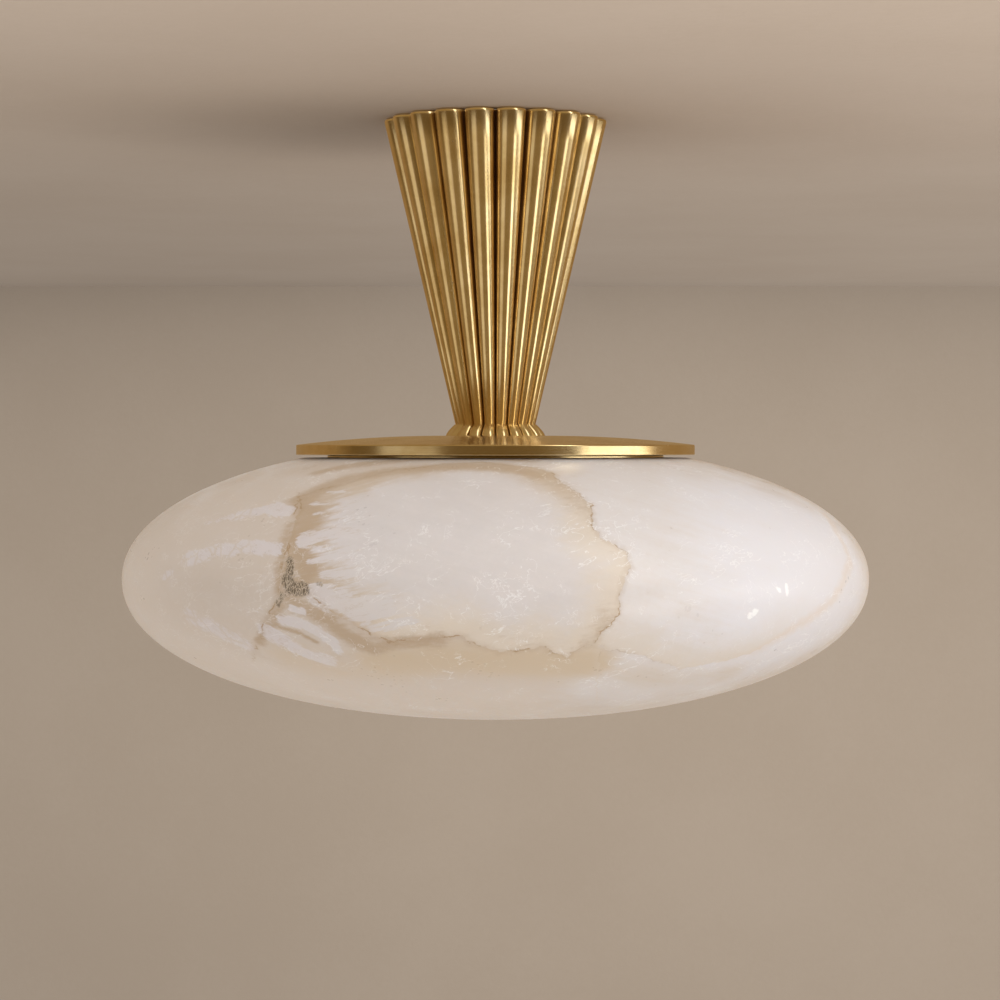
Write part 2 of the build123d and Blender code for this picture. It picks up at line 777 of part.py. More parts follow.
def ring_nut():
    body = ring(ring_nut_radius, neck_radius + thread_clearance, ring_nut_top_depth, ring_nut_bottom_depth)
    for k in range(ring_nut_notches):
        notch = block(ring_nut_notch_depth * 2, ring_nut_notch_width, ring_nut_top_depth - 1,
                      ring_nut_bottom_depth + 1, ring_nut_radius)
        body -= around(360 * (k + 0.5) / ring_nut_notches, notch)
    return body


# leads that the light holds all the way

def stem_lead():
    start_x = block_x - block_width / 2 + block_wire_depth
    y, z = way_y(block_ways - 1), wire_z() - stem_lead_share
    points = [
        (start_x, y, z),
        (stem_lead_leave_x, y, z),
        (-stem_lead_swing, y / 2, z - stem_lead_dip),
        (-stem_lead_swing + stem_lead_return, 0.5, z - stem_lead_drop),
        (0, 0, -stem_top_depth + stem_lead_in),
        (0, 0, -lead_end_depth),
    ]
    return lead_tube(points, stem_lead_diameter)


def holder_lead(k):
    """From the stem lead's end, round under the stem and up into the side of one holder."""
    turn = radians(lamp_first_angle + 360 * k / lamp_count)
    inside = lamp_place(k) * Pos(0, holder_entry_depth - holder_radius, holder_entry_height)
    outside = lamp_place(k) * Pos(0, -holder_radius - holder_lead_stand, holder_entry_height)
    spread, loop = holder_lead_spread, holder_lead_loop
    points = [
        (spread * cos(turn), spread * sin(turn), -lead_end_depth),
        (spread * cos(turn), spread * sin(turn), -lead_end_depth - holder_lead_straight),
        (loop * cos(turn), loop * sin(turn), -lead_end_depth - holder_lead_dip),
        tuple(outside.position),
        tuple(inside.position),
    ]
    return lead_tube(points, holder_lead_diameter)


def one_solid(shape):
    """The single solid of a piece, so that each file holds the piece and nothing round it."""
    return shape.solids()[0] if len(shape.solids()) == 1 else shape


def build_all():
    pieces = {
        "ceiling_plate": ceiling_plate(),
        "cable_grommet": cable_grommet(),
        "hanger_bracket": hanger_bracket(),
        "bracket_screw": bracket_screw(),
        "bracket_washer": bracket_washer(),
        "bracket_nut": bracket_nut(),
        "terminal_block": terminal_block(),
        "terminal_screw": terminal_screw(),
        "terminal_fixing_screw": terminal_fixing_screw(),
        "earth_tag": earth_tag(),
        "earth_screw": earth_screw(),
        "earth_lead": earth_lead(),
        "stem_tube": stem_tube(),
        "tube_bush": tube_bush(),
        "stem_lead": stem_lead(),
        "cone_washer": cone_washer(),
        "cone_nut": cone_nut(),
        "cone_shell": cone_shell(),
        "collar_ring": collar_ring(),
        "dome_cap": dome_cap(),
        "crown_spacer": crown_spacer(),
        "carrier_plate": carrier_plate(),
        "carrier_washer": carrier_washer(),
        "carrier_nut": carrier_nut(),
        "gallery_ring": gallery_ring(),
        "gallery_screw": gallery_screw(),
        "lamp_bracket": lamp_bracket(),
        "lamp_bracket_nut": lamp_bracket_nut(),
        "holder_screw": holder_screws(),
        "alabaster_shade": alabaster_shade(),
        "neck_ring": neck_ring(),
        "upper_gasket": upper_gasket(),
        "lower_gasket": lower_gasket(),
        "ring_nut": ring_nut(),
    }
    holder, base, glass, stick = lamp_holder(), lamp_base(), lamp_glass(), lamp_light_stick()
    for k in range(lamp_count):
        place, number = lamp_place(k), k + 1
        pieces[f"lamp_holder_{number}"] = place * holder
        pieces[f"holder_lead_{number}"] = holder_lead(k)
        pieces[f"lamp_base_{number}"] = place * base
        pieces[f"lamp_pins_{number}"] = Compound(children=[place * pin for pin in lamp_pins()])
        pieces[f"lamp_glass_{number}"] = place * glass
        pieces[f"lamp_light_{number}"] = place * stick
    return pieces


os.makedirs("parts", exist_ok=True)
for name, piece in build_all().items():
    export_step(one_solid(piece), f"parts/{name}.step")
print("the shade drops", round(shade_travel, 1), "and a lamp pulls out", round(lamp_travel, 1))
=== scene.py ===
import json
from math import asin, atan, cos, pi, radians, sin, sqrt

import bpy
import mathutils
import numpy as np
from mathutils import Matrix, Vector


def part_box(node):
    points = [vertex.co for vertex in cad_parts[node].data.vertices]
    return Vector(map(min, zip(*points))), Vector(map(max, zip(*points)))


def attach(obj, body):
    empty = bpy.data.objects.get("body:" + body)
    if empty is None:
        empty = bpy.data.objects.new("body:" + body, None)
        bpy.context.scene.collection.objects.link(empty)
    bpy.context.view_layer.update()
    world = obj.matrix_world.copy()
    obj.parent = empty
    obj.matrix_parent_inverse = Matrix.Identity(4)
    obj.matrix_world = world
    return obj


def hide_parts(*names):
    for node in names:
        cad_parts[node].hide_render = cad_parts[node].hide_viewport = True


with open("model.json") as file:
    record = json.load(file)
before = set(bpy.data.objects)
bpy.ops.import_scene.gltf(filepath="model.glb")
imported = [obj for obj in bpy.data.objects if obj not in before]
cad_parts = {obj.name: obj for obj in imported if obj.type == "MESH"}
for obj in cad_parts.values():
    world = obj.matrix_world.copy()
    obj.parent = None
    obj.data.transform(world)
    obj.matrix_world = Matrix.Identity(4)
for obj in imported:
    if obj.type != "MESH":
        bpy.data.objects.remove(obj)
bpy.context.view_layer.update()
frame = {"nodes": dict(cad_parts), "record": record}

nodes = frame["nodes"]
mm = 0.001
weldGap = 0.001 * mm
levelGap = 0.01 * mm
print("frame loaded:", len(nodes), "nodes")


# the picture's view, in pixels of a 1000 pixel square and in metres
picture = {
    "side": 1000,
    "focal": 2500,
    "eyeRow": 446,
    "axisColumn": 495.5,
    "eyeDepth": 0.178,
    "distance": 1.372,
    "sensor": 36,
}
cameraTilt = atan((picture["side"] / 2 - picture["eyeRow"]) / picture["focal"])
cameraSide = (picture["side"] / 2 - picture["axisColumn"]) / picture["focal"] * picture["distance"]
cameraPlace = np.array([cameraSide, -picture["distance"], -picture["eyeDepth"]])
cameraRight = np.array([1.0, 0.0, 0.0])
cameraForward = np.array([0.0, cos(cameraTilt), -sin(cameraTilt)])
cameraUp = np.array([0.0, sin(cameraTilt), cos(cameraTilt)])


def makeCamera():
    data = bpy.data.cameras.new("pictureCamera")
    data.sensor_width = picture["sensor"]
    data.lens = picture["sensor"] * picture["focal"] / picture["side"]
    camera = bpy.data.objects.new("pictureCamera", data)
    camera.location = cameraPlace
    camera.rotation_euler = (pi / 2 - cameraTilt, 0, 0)
    bpy.context.scene.collection.objects.link(camera)
    bpy.context.scene.camera = camera


# shader maths: a wire is one socket's value, and sums on wires add Math nodes
class Wire:
    def __init__(self, graph, socket):
        self.graph = graph
        self.socket = socket

    def math(self, operation, first, second=0.0):
        return self.graph.node("ShaderNodeMath", {"operation": operation}, {0: first, 1: second})

    def __add__(self, other):
        return self.math("ADD", self, other)

    def __radd__(self, other):
        return self.math("ADD", other, self)

    def __sub__(self, other):
        return self.math("SUBTRACT", self, other)

    def __rsub__(self, other):
        return self.math("SUBTRACT", other, self)

    def __mul__(self, other):
        return self.math("MULTIPLY", self, other)

    def __truediv__(self, other):
        return self.math("DIVIDE", self, other)

    def __pow__(self, other):
        return self.math("POWER", self, other)

    def __abs__(self):
        return self.math("ABSOLUTE", self)

    def larger(self, other):
        return self.math("MAXIMUM", self, other)

    def smaller(self, other):
        return self.math("MINIMUM", self, other)

    def sine(self):
        return self.math("SINE", self)

    def growth(self):
        return self.math("EXPONENT", self)


class Graph:
    # a tree of nodes, with the one method that makes them
    def __init__(self, tree):
        self.tree = tree

    def node(self, kind, settings, sockets, output=0):
        # settings come first, then values or links by socket, and one output comes back as a wire
        made = self.tree.nodes.new(kind)
        for name, value in settings.items():
            setattr(made, name, value)
        for name, value in sockets.items():
            self.feed(made.inputs[name], value)
        return Wire(self, made.outputs[output])

    def feed(self, target, value):
        if isinstance(value, Wire):
            self.tree.links.new(value.socket, target)
        elif target.type == "RGBA":
            target.default_value = (*value, 1)
        else:
            target.default_value = value

    def noise(self, place, scale, detail=3.0, roughness=0.5, distortion=0.0):
        sockets = {"Vector": place, "Scale": scale, "Detail": detail, "Roughness": roughness}
        sockets["Distortion"] = distortion
        return self.node("ShaderNodeTexNoise", {}, sockets)

    def cells(self, place, scale, feature="F1", randomness=1.0):
        sockets = {"Vector": place, "Scale": scale, "Randomness": randomness}
        return self.node("ShaderNodeTexVoronoi", {"feature": feature}, sockets, "Distance")

    def stretch(self, place, x, y, z):
        return self.node("ShaderNodeVectorMath", {"operation": "MULTIPLY"}, {0: place, 1: (x, y, z)})

    def shift(self, place, other, amount):
        # moves a place by a colour's or vector's value times an amount
        settings = {"operation": "MULTIPLY_ADD"}
        return self.node("ShaderNodeVectorMath", settings, {0: other, 1: (amount,) * 3, 2: place})

    def scale(self, colour, factor):
        return self.node("ShaderNodeVectorMath", {"operation": "SCALE"}, {0: colour, "Scale": factor})

    def split(self, place):
        return [self.node("ShaderNodeSeparateXYZ", {}, {0: place}, axis) for axis in range(3)]

    def join(self, x, y, z):
        return self.node("ShaderNodeCombineXYZ", {}, {0: x, 1: y, 2: z})

    def step(self, value, low, high, lowest=0.0, highest=1.0):
        # a smooth step from lowest at low to highest at high
        sockets = {"Value": value, "From Min": low, "From Max": high, "To Min": lowest, "To Max": highest}
        return self.node("ShaderNodeMapRange", {"interpolation_type": "SMOOTHSTEP"}, sockets)

    def blend(self, share, first, second, way="MIX"):
        # inputs 6 and 7 are the two colours, and output 2 is their blend
        settings = {"data_type": "RGBA", "blend_type": way}
        return self.node("ShaderNodeMix", settings, {0: share, 6: first, 7: second}, 2)

    def attribute(self, name):
        return self.node("ShaderNodeAttribute", {"attribute_name": name}, {}, "Fac")

    def bump(self, height, distance, strength=1.0):
        sockets = {"Height": height, "Distance": distance, "Strength": strength}
        return self.node("ShaderNodeBump", {}, sockets)

    def thread(self, place, scale, width, distortion=0.0):
        # thin lines where a noise crosses its middle value
        return self.step(abs(self.noise(place, scale, 4, 0.6, distortion) - 0.5), 0, width, 1, 0)


class Finish(Graph):
    # one material with its Principled shader
    def __init__(self, name, constants=None):
        self.material = bpy.data.materials.new(name)
        self.material.use_nodes = True
        super().__init__(self.material.node_tree)
        self.tree.nodes.clear()
        self.shader = self.tree.nodes.new("ShaderNodeBsdfPrincipled")
        self.output = self.tree.nodes.new("ShaderNodeOutputMaterial")
        self.tree.links.new(self.shader.outputs[0], self.output.inputs[0])
        self.place = self.node("ShaderNodeTexCoord", {}, {}, "Object")
        self.set(constants or {})

    def set(self, sockets):
        for name, value in sockets.items():
            self.feed(self.shader.inputs[name], value)


# modelling helpers
def clearSelection():
    if bpy.context.mode != "OBJECT":
        bpy.ops.object.mode_set(mode="OBJECT")
    bpy.ops.object.select_all(action="DESELECT")


def selectEdges(piece, test):
    # selects the edges whose two ends both pass a test on their place, in edit mode
    bpy.ops.object.mode_set(mode="EDIT")
    bpy.ops.mesh.select_all(action="DESELECT")
    bpy.ops.mesh.select_mode(type="EDGE")
    bpy.ops.object.mode_set(mode="OBJECT")
    vertices = piece.data.vertices
    for edge in piece.data.edges:
        edge.select = all(test(vertices[index].co) for index in edge.vertices)
    bpy.ops.object.mode_set(mode="EDIT")


def finishMesh(piece, sharpAngle=35):
    # merges doubles, turns the faces outwards and shades smooth up to an angle
    bpy.ops.object.mode_set(mode="EDIT")
    bpy.ops.mesh.select_all(action="SELECT")
    bpy.ops.mesh.remove_doubles(threshold=weldGap)
    bpy.ops.mesh.normals_make_consistent(inside=False)
    bpy.ops.object.mode_set(mode="OBJECT")
    bpy.ops.object.shade_smooth_by_angle(angle=radians(sharpAngle))
    return piece


def startPoint(name, x, y, z):
    # a plane merged into one vertex, in edit mode, with its object at the origin
    clearSelection()
    bpy.ops.mesh.primitive_plane_add(size=mm, location=(x, y, z))
    piece = bpy.context.active_object
    piece.name = name
    bpy.ops.object.transform_apply(location=True, rotation=True, scale=True)
    bpy.ops.object.mode_set(mode="EDIT")
    bpy.ops.mesh.select_mode(type="VERT")
    bpy.ops.mesh.select_all(action="SELECT")
    bpy.ops.mesh.merge(type="CENTER")
    return piece


def drawOutline(points):
    # extrudes the selected vertex along the points
    for here, there in zip(points, points[1:]):
        move = [b - a for a, b in zip(here, there)]
        bpy.ops.mesh.extrude_vertices_move(TRANSFORM_OT_translate={"value": move})


def turned(name, outline, steps=192, sharpAngle=35):
    # spins an outline of (radius, height) about the light's axis
    points = [(radius, 0, height) for radius, height in outline]
    piece = startPoint(name, *points[0])
    drawOutline(points)
    bpy.ops.mesh.select_all(action="SELECT")
    bpy.ops.mesh.spin(steps=steps, angle=2 * pi, center=(0, 0, 0), axis=(0, 0, 1))
    return finishMesh(piece, sharpAngle)


def dress(piece, body, slot, finish, *replaced):
    piece.data.materials.clear()
    piece.data.materials.append(finish.material)
    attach(piece, body)
    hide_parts(*replaced)
    print("made", piece.name, len(piece.data.polygons), "faces")
    return piece


makeCamera()


# the brass pieces share one look; the way their brushing runs is a function of the finish
brassLook = {
    "clean": (0.845, 0.67, 0.375),
    "warm": (0.74, 0.545, 0.25),
    "patina": (0.31, 0.155, 0.04),
    "groove": (0.16, 0.055, 0.008),
    "roughness": 0.22,
    "brushScale": 900,
}


def brassFinish(name, brushing, grooved=False):
    finish = Finish(name, {"Metallic": 1.0})
    brushed = brushing(finish)
    cloud = finish.noise(finish.place, 45, 4, 0.6)
    mottle = finish.noise(finish.place, 420, 3, 0.65)
    streak = finish.noise(brushed, 1.0, 5, 0.62)
    fine = finish.noise(brushed, 3.4, 2, 0.5)
    pit = finish.step(finish.cells(finish.place, 190), 0.05, 0.12, 1, 0) * finish.step(mottle, 0.58, 0.66)
    colour = finish.blend(finish.step(cloud, 0.35, 0.72), brassLook["clean"], brassLook["warm"])
    tarnish = finish.step(cloud * 0.45 + streak * 0.55, 0.5, 0.72) * 0.22
    colour = finish.blend(tarnish, colour, brassLook["patina"])
    colour = finish.blend(pit * 0.8, colour, brassLook["groove"])
    rough = brassLook["roughness"] + (streak - 0.5) * 0.1 + (cloud - 0.5) * 0.1 + pit * 0.3
    if grooved:
        depth = finish.attribute("grooveDepth")
        dirt = finish.step(depth, 0.5, 0.98) * finish.step(streak, 0.2, 0.7, 0.4, 0.85)
        colour = finish.blend(dirt, colour, brassLook["groove"])
        rough = rough + dirt * 0.2
    finish.set({"Base Color": colour, "Roughness": rough})
    finish.set({"Normal": finish.bump(fine * 0.5 + streak - pit * 3, 0.004 * mm, 0.5)})
    return finish


def roundAxis(finish):
    # brushing that runs round the light's axis
    x, y, z = finish.split(finish.place)
    radius = (x * x + y * y) ** 0.5
    scale = brassLook["brushScale"]
    return finish.join(radius * scale + x / radius * 2, z * scale, y / radius * 3)


# reeded cone and collar
cone = {
    "reeds": 20,
    "topRadius": 61 * mm,
    "bottomRadius": 21.8 * mm,
    "land": 1.0 / 61,
    "arcSteps": 20,
    "edgeRound": 0.7 * mm,
    "edgeSteps": 4,
    "spans": 12,
    "sharpAngle": 40,
    "boreTop": 50.93 * mm,
    "boreBottom": 17.17 * mm,
    "web": 3 * mm,
    "stemHole": 5.15 * mm,
}
coneLow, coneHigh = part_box("cone_shell")
coneTaper = (cone["topRadius"] - cone["bottomRadius"]) / (coneHigh.z - coneLow.z)


def alongReeds(finish):
    # brushing that runs down the taper: across it, the place is divided by the cone's radius there
    x, y, z = finish.split(finish.place)
    share = (z - coneHigh.z) * (coneTaper / cone["topRadius"]) + 1
    scale = brassLook["brushScale"]
    return finish.join(x / share * scale, y / share * scale, z * 9)


def reedOutline(outer, height):
    # one reed, from the middle of a groove's floor over the half round to the next groove
    halfStep = pi / cone["reeds"]
    centreRadius = outer * (1 + cone["land"] / 2) / (1 + sin(halfStep))
    reedRadius = outer - centreRadius
    crown = halfStep - pi / 2
    outward = np.array([cos(crown), sin(crown)])
    along = np.array([-sin(crown), cos(crown)])
    floorRadius = centreRadius * cos(halfStep)
    points = [floorRadius * np.array([cos(crown - halfStep), sin(crown - halfStep)])]
    for step in range(cone["arcSteps"] + 1):
        turn = pi * step / cone["arcSteps"] - pi / 2
        points.append(outward * (centreRadius + reedRadius * cos(turn)) + along * reedRadius * sin(turn))
    points.append(floorRadius * np.array([cos(crown + halfStep), sin(crown + halfStep)]))
    return [(x, y, height) for x, y in points]


def extrudeRows(rows):
    # extrudes the selected loop down rows of (radius, height)
    for (radius, height), (nextRadius, nextHeight) in zip(rows, rows[1:]):
        move = (0, 0, nextHeight - height)
        bpy.ops.mesh.extrude_edges_move(TRANSFORM_OT_translate={"value": move})
        size = nextRadius / radius
        bpy.ops.transform.resize(value=(size, size, 1), center_override=(0, 0, 0))


def reeded(name, rows, bore):
    # rows and bore are lists of (radius, height) from the top down, and their ends are bridged
    outline = reedOutline(*rows[0])
    piece = startPoint(name, *outline[0])
    drawOutline(outline)
    count = cone["reeds"]
    bpy.ops.mesh.select_all(action="SELECT")
    bpy.ops.mesh.spin(steps=count - 1, dupli=True, angle=2 * pi * (count - 1) / count,
                      center=(0, 0, 0), axis=(0, 0, 1))
    bpy.ops.mesh.select_all(action="SELECT")
    bpy.ops.mesh.remove_doubles(threshold=weldGap)
    extrudeRows(rows)
    bpy.ops.mesh.select_all(action="DESELECT")
    around = count * (len(outline) - 1)
    bpy.ops.mesh.primitive_circle_add(vertices=around, radius=bore[0][0], location=(0, 0, bore[0][1]))
    extrudeRows(bore)
    for height in (rows[0][1], rows[-1][1]):
        selectEdges(piece, lambda place: abs(place.z - height) < levelGap)
        bpy.ops.mesh.bridge_edge_loops()
    return finishMesh(piece, cone["sharpAngle"])


def markGrooves(piece, radiusAt):
    # stores how deep each point lies in a groove, 0 on a reed's crown and 1 on the groove's floor
    halfStep = pi / cone["reeds"]
    floorShare = cos(halfStep) * (1 + cone["land"] / 2) / (1 + sin(halfStep))
    depths = []
    for vertex in piece.data.vertices:
        share = sqrt(vertex.co.x ** 2 + vertex.co.y ** 2) / radiusAt(vertex.co.z)
        depths.append(min(1, max(0, (1 - share) / (1 - floorShare))))
    layer = piece.data.attributes.new("grooveDepth", "FLOAT", "POINT")
    layer.data.foreach_set("value", depths)


def makeCone():
    rows = []
    for step in range(cone["edgeSteps"]):
        turn = pi / 2 * step / cone["edgeSteps"]
        rows.append((cone["topRadius"] - cone["edgeRound"] * (1 - sin(turn)),
                     coneHigh.z - 2 * cone["edgeRound"] * (1 - cos(turn))))
    start = coneHigh.z - 2 * cone["edgeRound"]
    for step in range(cone["spans"] + 1):
        height = start + (coneLow.z - start) * step / cone["spans"]
        rows.append((cone["topRadius"] - (start - height) * coneTaper, height))
    bore = [(cone["boreTop"], coneHigh.z), (cone["boreBottom"], coneLow.z + cone["web"]),
            (cone["stemHole"], coneLow.z + cone["web"]), (cone["stemHole"], coneLow.z)]
    piece = reeded("reededCone", rows, bore)
    markGrooves(piece, lambda height: cone["topRadius"] - (coneHigh.z - height) * coneTaper)
    dress(piece, "fixture", "aged_brass", brassFinish("reedBrass", alongReeds, True), "cone_shell")


collar = {"topRadius": 22.7 * mm, "bottomRadius": 27.5 * mm, "sweep": radians(72), "steps": 8}


def collarRadius(share):
    # share of the way down, on a curve that steepens towards the foot
    flare = collar["bottomRadius"] - collar["topRadius"]
    return collar["topRadius"] + flare * sin(collar["sweep"] * share) / sin(collar["sweep"])


def makeCollar():
    low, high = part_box("collar_ring")
    tall = high.z - low.z
    rows = []
    for step in range(collar["steps"] + 1):
        share = step / collar["steps"]
        rows.append((collarRadius(share), high.z - tall * share))
    bore = [(cone["stemHole"], high.z), (cone["stemHole"], low.z)]
    piece = reeded("flutedCollar", rows, bore)
    markGrooves(piece, lambda height: collarRadius((high.z - height) / tall))
    dress(piece, "fixture", "aged_brass", brassFinish("collarBrass", alongReeds, True), "collar_ring")


# domed cap with a plain upright rim
cap = {
    "landRadius": 30 * mm,
    "sheet": 1.5 * mm,
    "rimRound": 0.7 * mm,
    "rise": 4.9 * mm,
    "hemRound": 0.35 * mm,
    "support": 0.12 * mm,
    "domeSteps": 48,
    "rimSteps": 6,
    "hemSteps": 4,
    "around": 288,
    "sharpAngle": 50,
}


def domeArc(reach, top, drop):
    # an arc that leaves the flat land level and falls by drop at the reach
    span = reach - cap["landRadius"]
    bend = (span ** 2 + drop ** 2) / (2 * drop)
    points = []
    for step in range(cap["domeSteps"] + 1):
        across = span * step / cap["domeSteps"]
        points.append((cap["landRadius"] + across, top - bend + sqrt(bend ** 2 - across ** 2)))
    return points


def makeCap():
    low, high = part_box("dome_cap")
    rim, corner, sheet = high.x, cap["rimRound"], cap["sheet"]
    shoulder = high.z - cap["rise"]
    outline = [(cone["stemHole"], high.z), *domeArc(rim - corner, high.z, cap["rise"])]
    for step in range(1, cap["rimSteps"] + 1):
        turn = pi / 2 * step / cap["rimSteps"]
        outline.append((rim - corner + corner * sin(turn), shoulder - corner + corner * cos(turn)))
    outline.append((rim, shoulder - corner - cap["support"]))
    outline.append((rim, low.z + cap["hemRound"] + cap["support"]))
    for step in range(cap["hemSteps"] + 1):
        turn = pi / 2 * step / cap["hemSteps"]
        outline.append((rim - cap["hemRound"] * (1 - cos(turn)), low.z + cap["hemRound"] * (1 - sin(turn))))
    inner = rim - sheet
    outline += [(inner, low.z), (inner, shoulder - sheet - corner), (inner - corner, shoulder - sheet)]
    outline += list(reversed(domeArc(inner - corner, high.z - sheet, cap["rise"])))[1:]
    outline += [(cone["stemHole"], high.z - sheet), outline[0]]
    piece = turned("domedCap", outline, cap["around"], cap["sharpAngle"])
    dress(piece, "fixture", "aged_brass", brassFinish("capBrass", roundAxis), "dome_cap")


# alabaster shade
stone = {
    "power": 2.1,
    "wall": 11 * mm,
    "flatRadius": 105 * mm,
    "recessRadius": 91 * mm,
    "recess": 1 * mm,
    "mouthRadius": 82 * mm,
    "lip": 9.4 * mm,
    "around": 512,
    "rows": 128,
    "innerRows": 30,
    "sharpAngle": 40,
    "inset": 0.005 * mm,
    "lipRound": 0.4 * mm,
    "halvings": 30,
    "fadeFacing": 0.25,
    "nearReach": 6,
}
stoneLow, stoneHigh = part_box("alabaster_shade")
stoneRadius = min(stoneHigh.x, stoneHigh.y) - stone["inset"]
stoneRise = (1 - (stone["flatRadius"] / stoneRadius) ** stone["power"]) ** (1 / stone["power"])
stoneHalf = (stoneHigh.z - stoneLow.z) / (1 + stoneRise)
stoneMiddle = stoneLow.z + stoneHalf

# what shows on the front of the stone, as listed points of the picture, in its pixels
# a stroke is (half width in mm, strength, points)
ringVein = [
    (298, 496), (323, 489), (346, 484), (361, 478), (383, 472), (400, 469), (418, 468), (445, 464),
    (480, 462), (518, 466), (537, 468), (552, 473), (560, 481), (574, 491), (582, 496), (592, 506),
    (591, 515), (594, 532), (611, 542), (628, 552), (630, 568), (625, 581), (619, 590), (620, 602),
    (618, 615), (609, 626), (601, 634), (594, 645), (583, 648), (568, 657), (549, 652), (539, 646),
    (530, 649), (501, 652), (483, 646), (469, 644), (462, 637), (449, 636), (428, 639), (394, 642),
    (383, 639), (366, 632), (349, 623), (332, 613), (320, 605), (306, 590), (294, 592), (282, 586),
    (283, 574), (285, 560), (289, 546), (291, 531), (295, 521), (301, 507),
]
leftVein = [
    (298, 496), (297, 510), (291, 531), (288, 547), (284, 562), (282, 584), (275, 601), (268, 615),
    (263, 631), (256, 645), (254, 655),
]
rightVein = [
    (826, 516), (837, 533), (845, 548), (850, 562), (845, 576), (840, 590), (831, 601), (814, 615),
    (797, 626), (776, 639), (761, 649), (745, 655), (723, 661), (702, 665), (680, 669), (669, 664),
    (652, 661), (640, 655), (626, 652), (611, 650), (599, 646),
]
leftSide = [(240, 780), (60, 780), (60, 430), (298, 430)]
lowerSide = [(594, 800), (960, 800), (960, 480), (820, 480)]
milkStrokes = [
    (4.0, 0.75, [(206, 523), (222, 519), (233, 516)]),
    (5.5, 1.15, [(236, 516), (250, 513), (262, 510), (274, 508), (288, 512)]),
    (3.4, 0.8, [(163, 577), (172, 572)]),
    (5.0, 1.15, [(186, 559), (205, 555), (216, 550), (230, 551), (242, 546), (259, 547), (276, 549)]),
    (2.5, 0.5, [(262, 574), (276, 578)]),
    (3.0, 0.5, [(232, 597), (260, 598)]),
    (3.0, 0.6, [(247, 612), (262, 609)]),
    (8.0, 0.75, [(190, 617), (214, 628), (246, 644)]),
    (2.6, 1.0, [(292, 608), (304, 611)]),
    (4.0, 1.0, [(280, 620), (300, 624), (318, 631), (332, 641), (338, 650)]),
    (5.6, 1.0, [(266, 630), (285, 642), (303, 653), (330, 661)]),
    (2.4, 0.8, [(328, 492), (343, 492)]),
    (3.0, 0.6, [(314, 503), (332, 506), (348, 511)]),
    (2.4, 0.7, [(314, 513), (328, 515)]),
    (5.0, 1.0, [(303, 538), (322, 535), (340, 531), (360, 534)]),
    (3.0, 0.8, [(303, 546), (320, 548)]),
    (2.6, 0.8, [(309, 562), (324, 559), (340, 556)]),
    (3.2, 0.9, [(323, 575), (345, 572), (370, 575)]),
    (8.0, 1.0, [(318, 594), (336, 600), (356, 608), (385, 606)]),
    (4.5, 0.8, [(366, 626), (390, 626), (412, 620)]),
]
amberStrokes = [
    # the first two strokes run just under the cap: the stone's own tan with painted shade from the cap
    (9.0, 1.0, [(300, 500), (325, 487), (350, 478), (400, 470), (450, 467), (500, 467), (540, 476)]),
    (7.0, 1.0, [(320, 472), (350, 466), (420, 459), (480, 457), (530, 460)]),
    (12.0, 0.45, [(540, 476), (566, 490), (584, 510)]),
    (9.0, 1.0, [(304, 504), (312, 518), (304, 532)]),
    (6.0, 1.0, [(299, 534), (299, 548), (304, 560), (310, 572), (303, 584)]),
    (4.5, 0.8, [(288, 525), (282, 555), (280, 590)]),
    (6.0, 1.0, [(290, 600), (310, 610), (330, 622), (350, 637), (372, 648)]),
    (4.0, 0.9, [(285, 600), (274, 618), (260, 642)]),
    (1.6, 1.0, [(274, 625), (300, 633), (318, 643)]),
    (2.6, 0.35, [(258, 655), (285, 665), (315, 664), (352, 655)]),
    (9.0, 0.22, [(606, 545), (622, 570), (612, 600)]),
    (8.0, 0.55, [(606, 612), (602, 630), (588, 642)]),
    (8.0, 0.3, [(430, 632), (480, 636), (530, 642), (580, 644)]),
    (5.0, 0.9, [(372, 648), (400, 643), (440, 640)]),
]
honeyStrokes = [
    (15.0, 1.0, [(385, 664), (450, 660), (520, 663), (590, 663)]),
    (13.0, 0.4, [(590, 664), (660, 678), (730, 673)]),
    (14.0, 0.6, [(290, 660), (340, 672), (400, 674)]),
]
smokeStrokes = [
    (2.4, 1.0, [(290, 560), (290, 574)]),
    (4.0, 1.0, [(287, 580), (291, 588), (304, 589)]),
    (2.2, 0.8, [(284, 594), (277, 604)]),
    (1.8, 0.7, [(316, 583), (321, 585)]),
]
# painted highlight: small bright glints where the lamp's light catches the stone
glintStrokes = [
    (2.0, 1.0, [(749, 617), (756, 611)]),
    (1.6, 0.9, [(778, 588), (780, 591)]),
    (1.6, 1.0, [(787, 585), (788, 594)]),
]


def stoneLevel(points):
    # below 1 inside the stone's outer form and above 1 outside it
    across = np.hypot(points[..., 0], points[..., 1]) / stoneRadius
    up = np.abs(points[..., 2] - stoneMiddle) / stoneHalf
    return (across ** stone["power"] + up ** stone["power"]) ** (1 / stone["power"])


def pictureToStone(column, row):
    # where the line of sight through a pixel meets the near side of the stone
    across = (column - picture["side"] / 2) / picture["focal"]
    down = (row - picture["side"] / 2) / picture["focal"]
    sight = cameraForward + cameraRight * across - cameraUp * down
    near = picture["distance"] - stoneRadius
    far = picture["distance"]
    for _ in range(stone["halvings"]):
        middle = (near + far) / 2
        if stoneLevel(cameraPlace + sight * middle) < 1:
            far = middle
        else:
            near = middle
    return cameraPlace + sight * far


def stoneToPicture(points):
    away = points - cameraPlace
    depth = away @ cameraForward
    half = picture["side"] / 2
    return (half + picture["focal"] * (away @ cameraRight) / depth,
            half - picture["focal"] * (away @ cameraUp) / depth)


def gapToLine(points, marks):
    # least distance in millimetres from each point to a chain of straight spans
    chain = [pictureToStone(*mark) for mark in marks]
    least = np.full(len(points), 1.0)
    for start, end in zip(chain, chain[1:]):
        span = end - start
        share = np.clip((points - start) @ span / (span @ span), 0, 1)
        least = np.minimum(least, np.linalg.norm(points - start - share[:, None] * span, axis=1))
    return least / mm


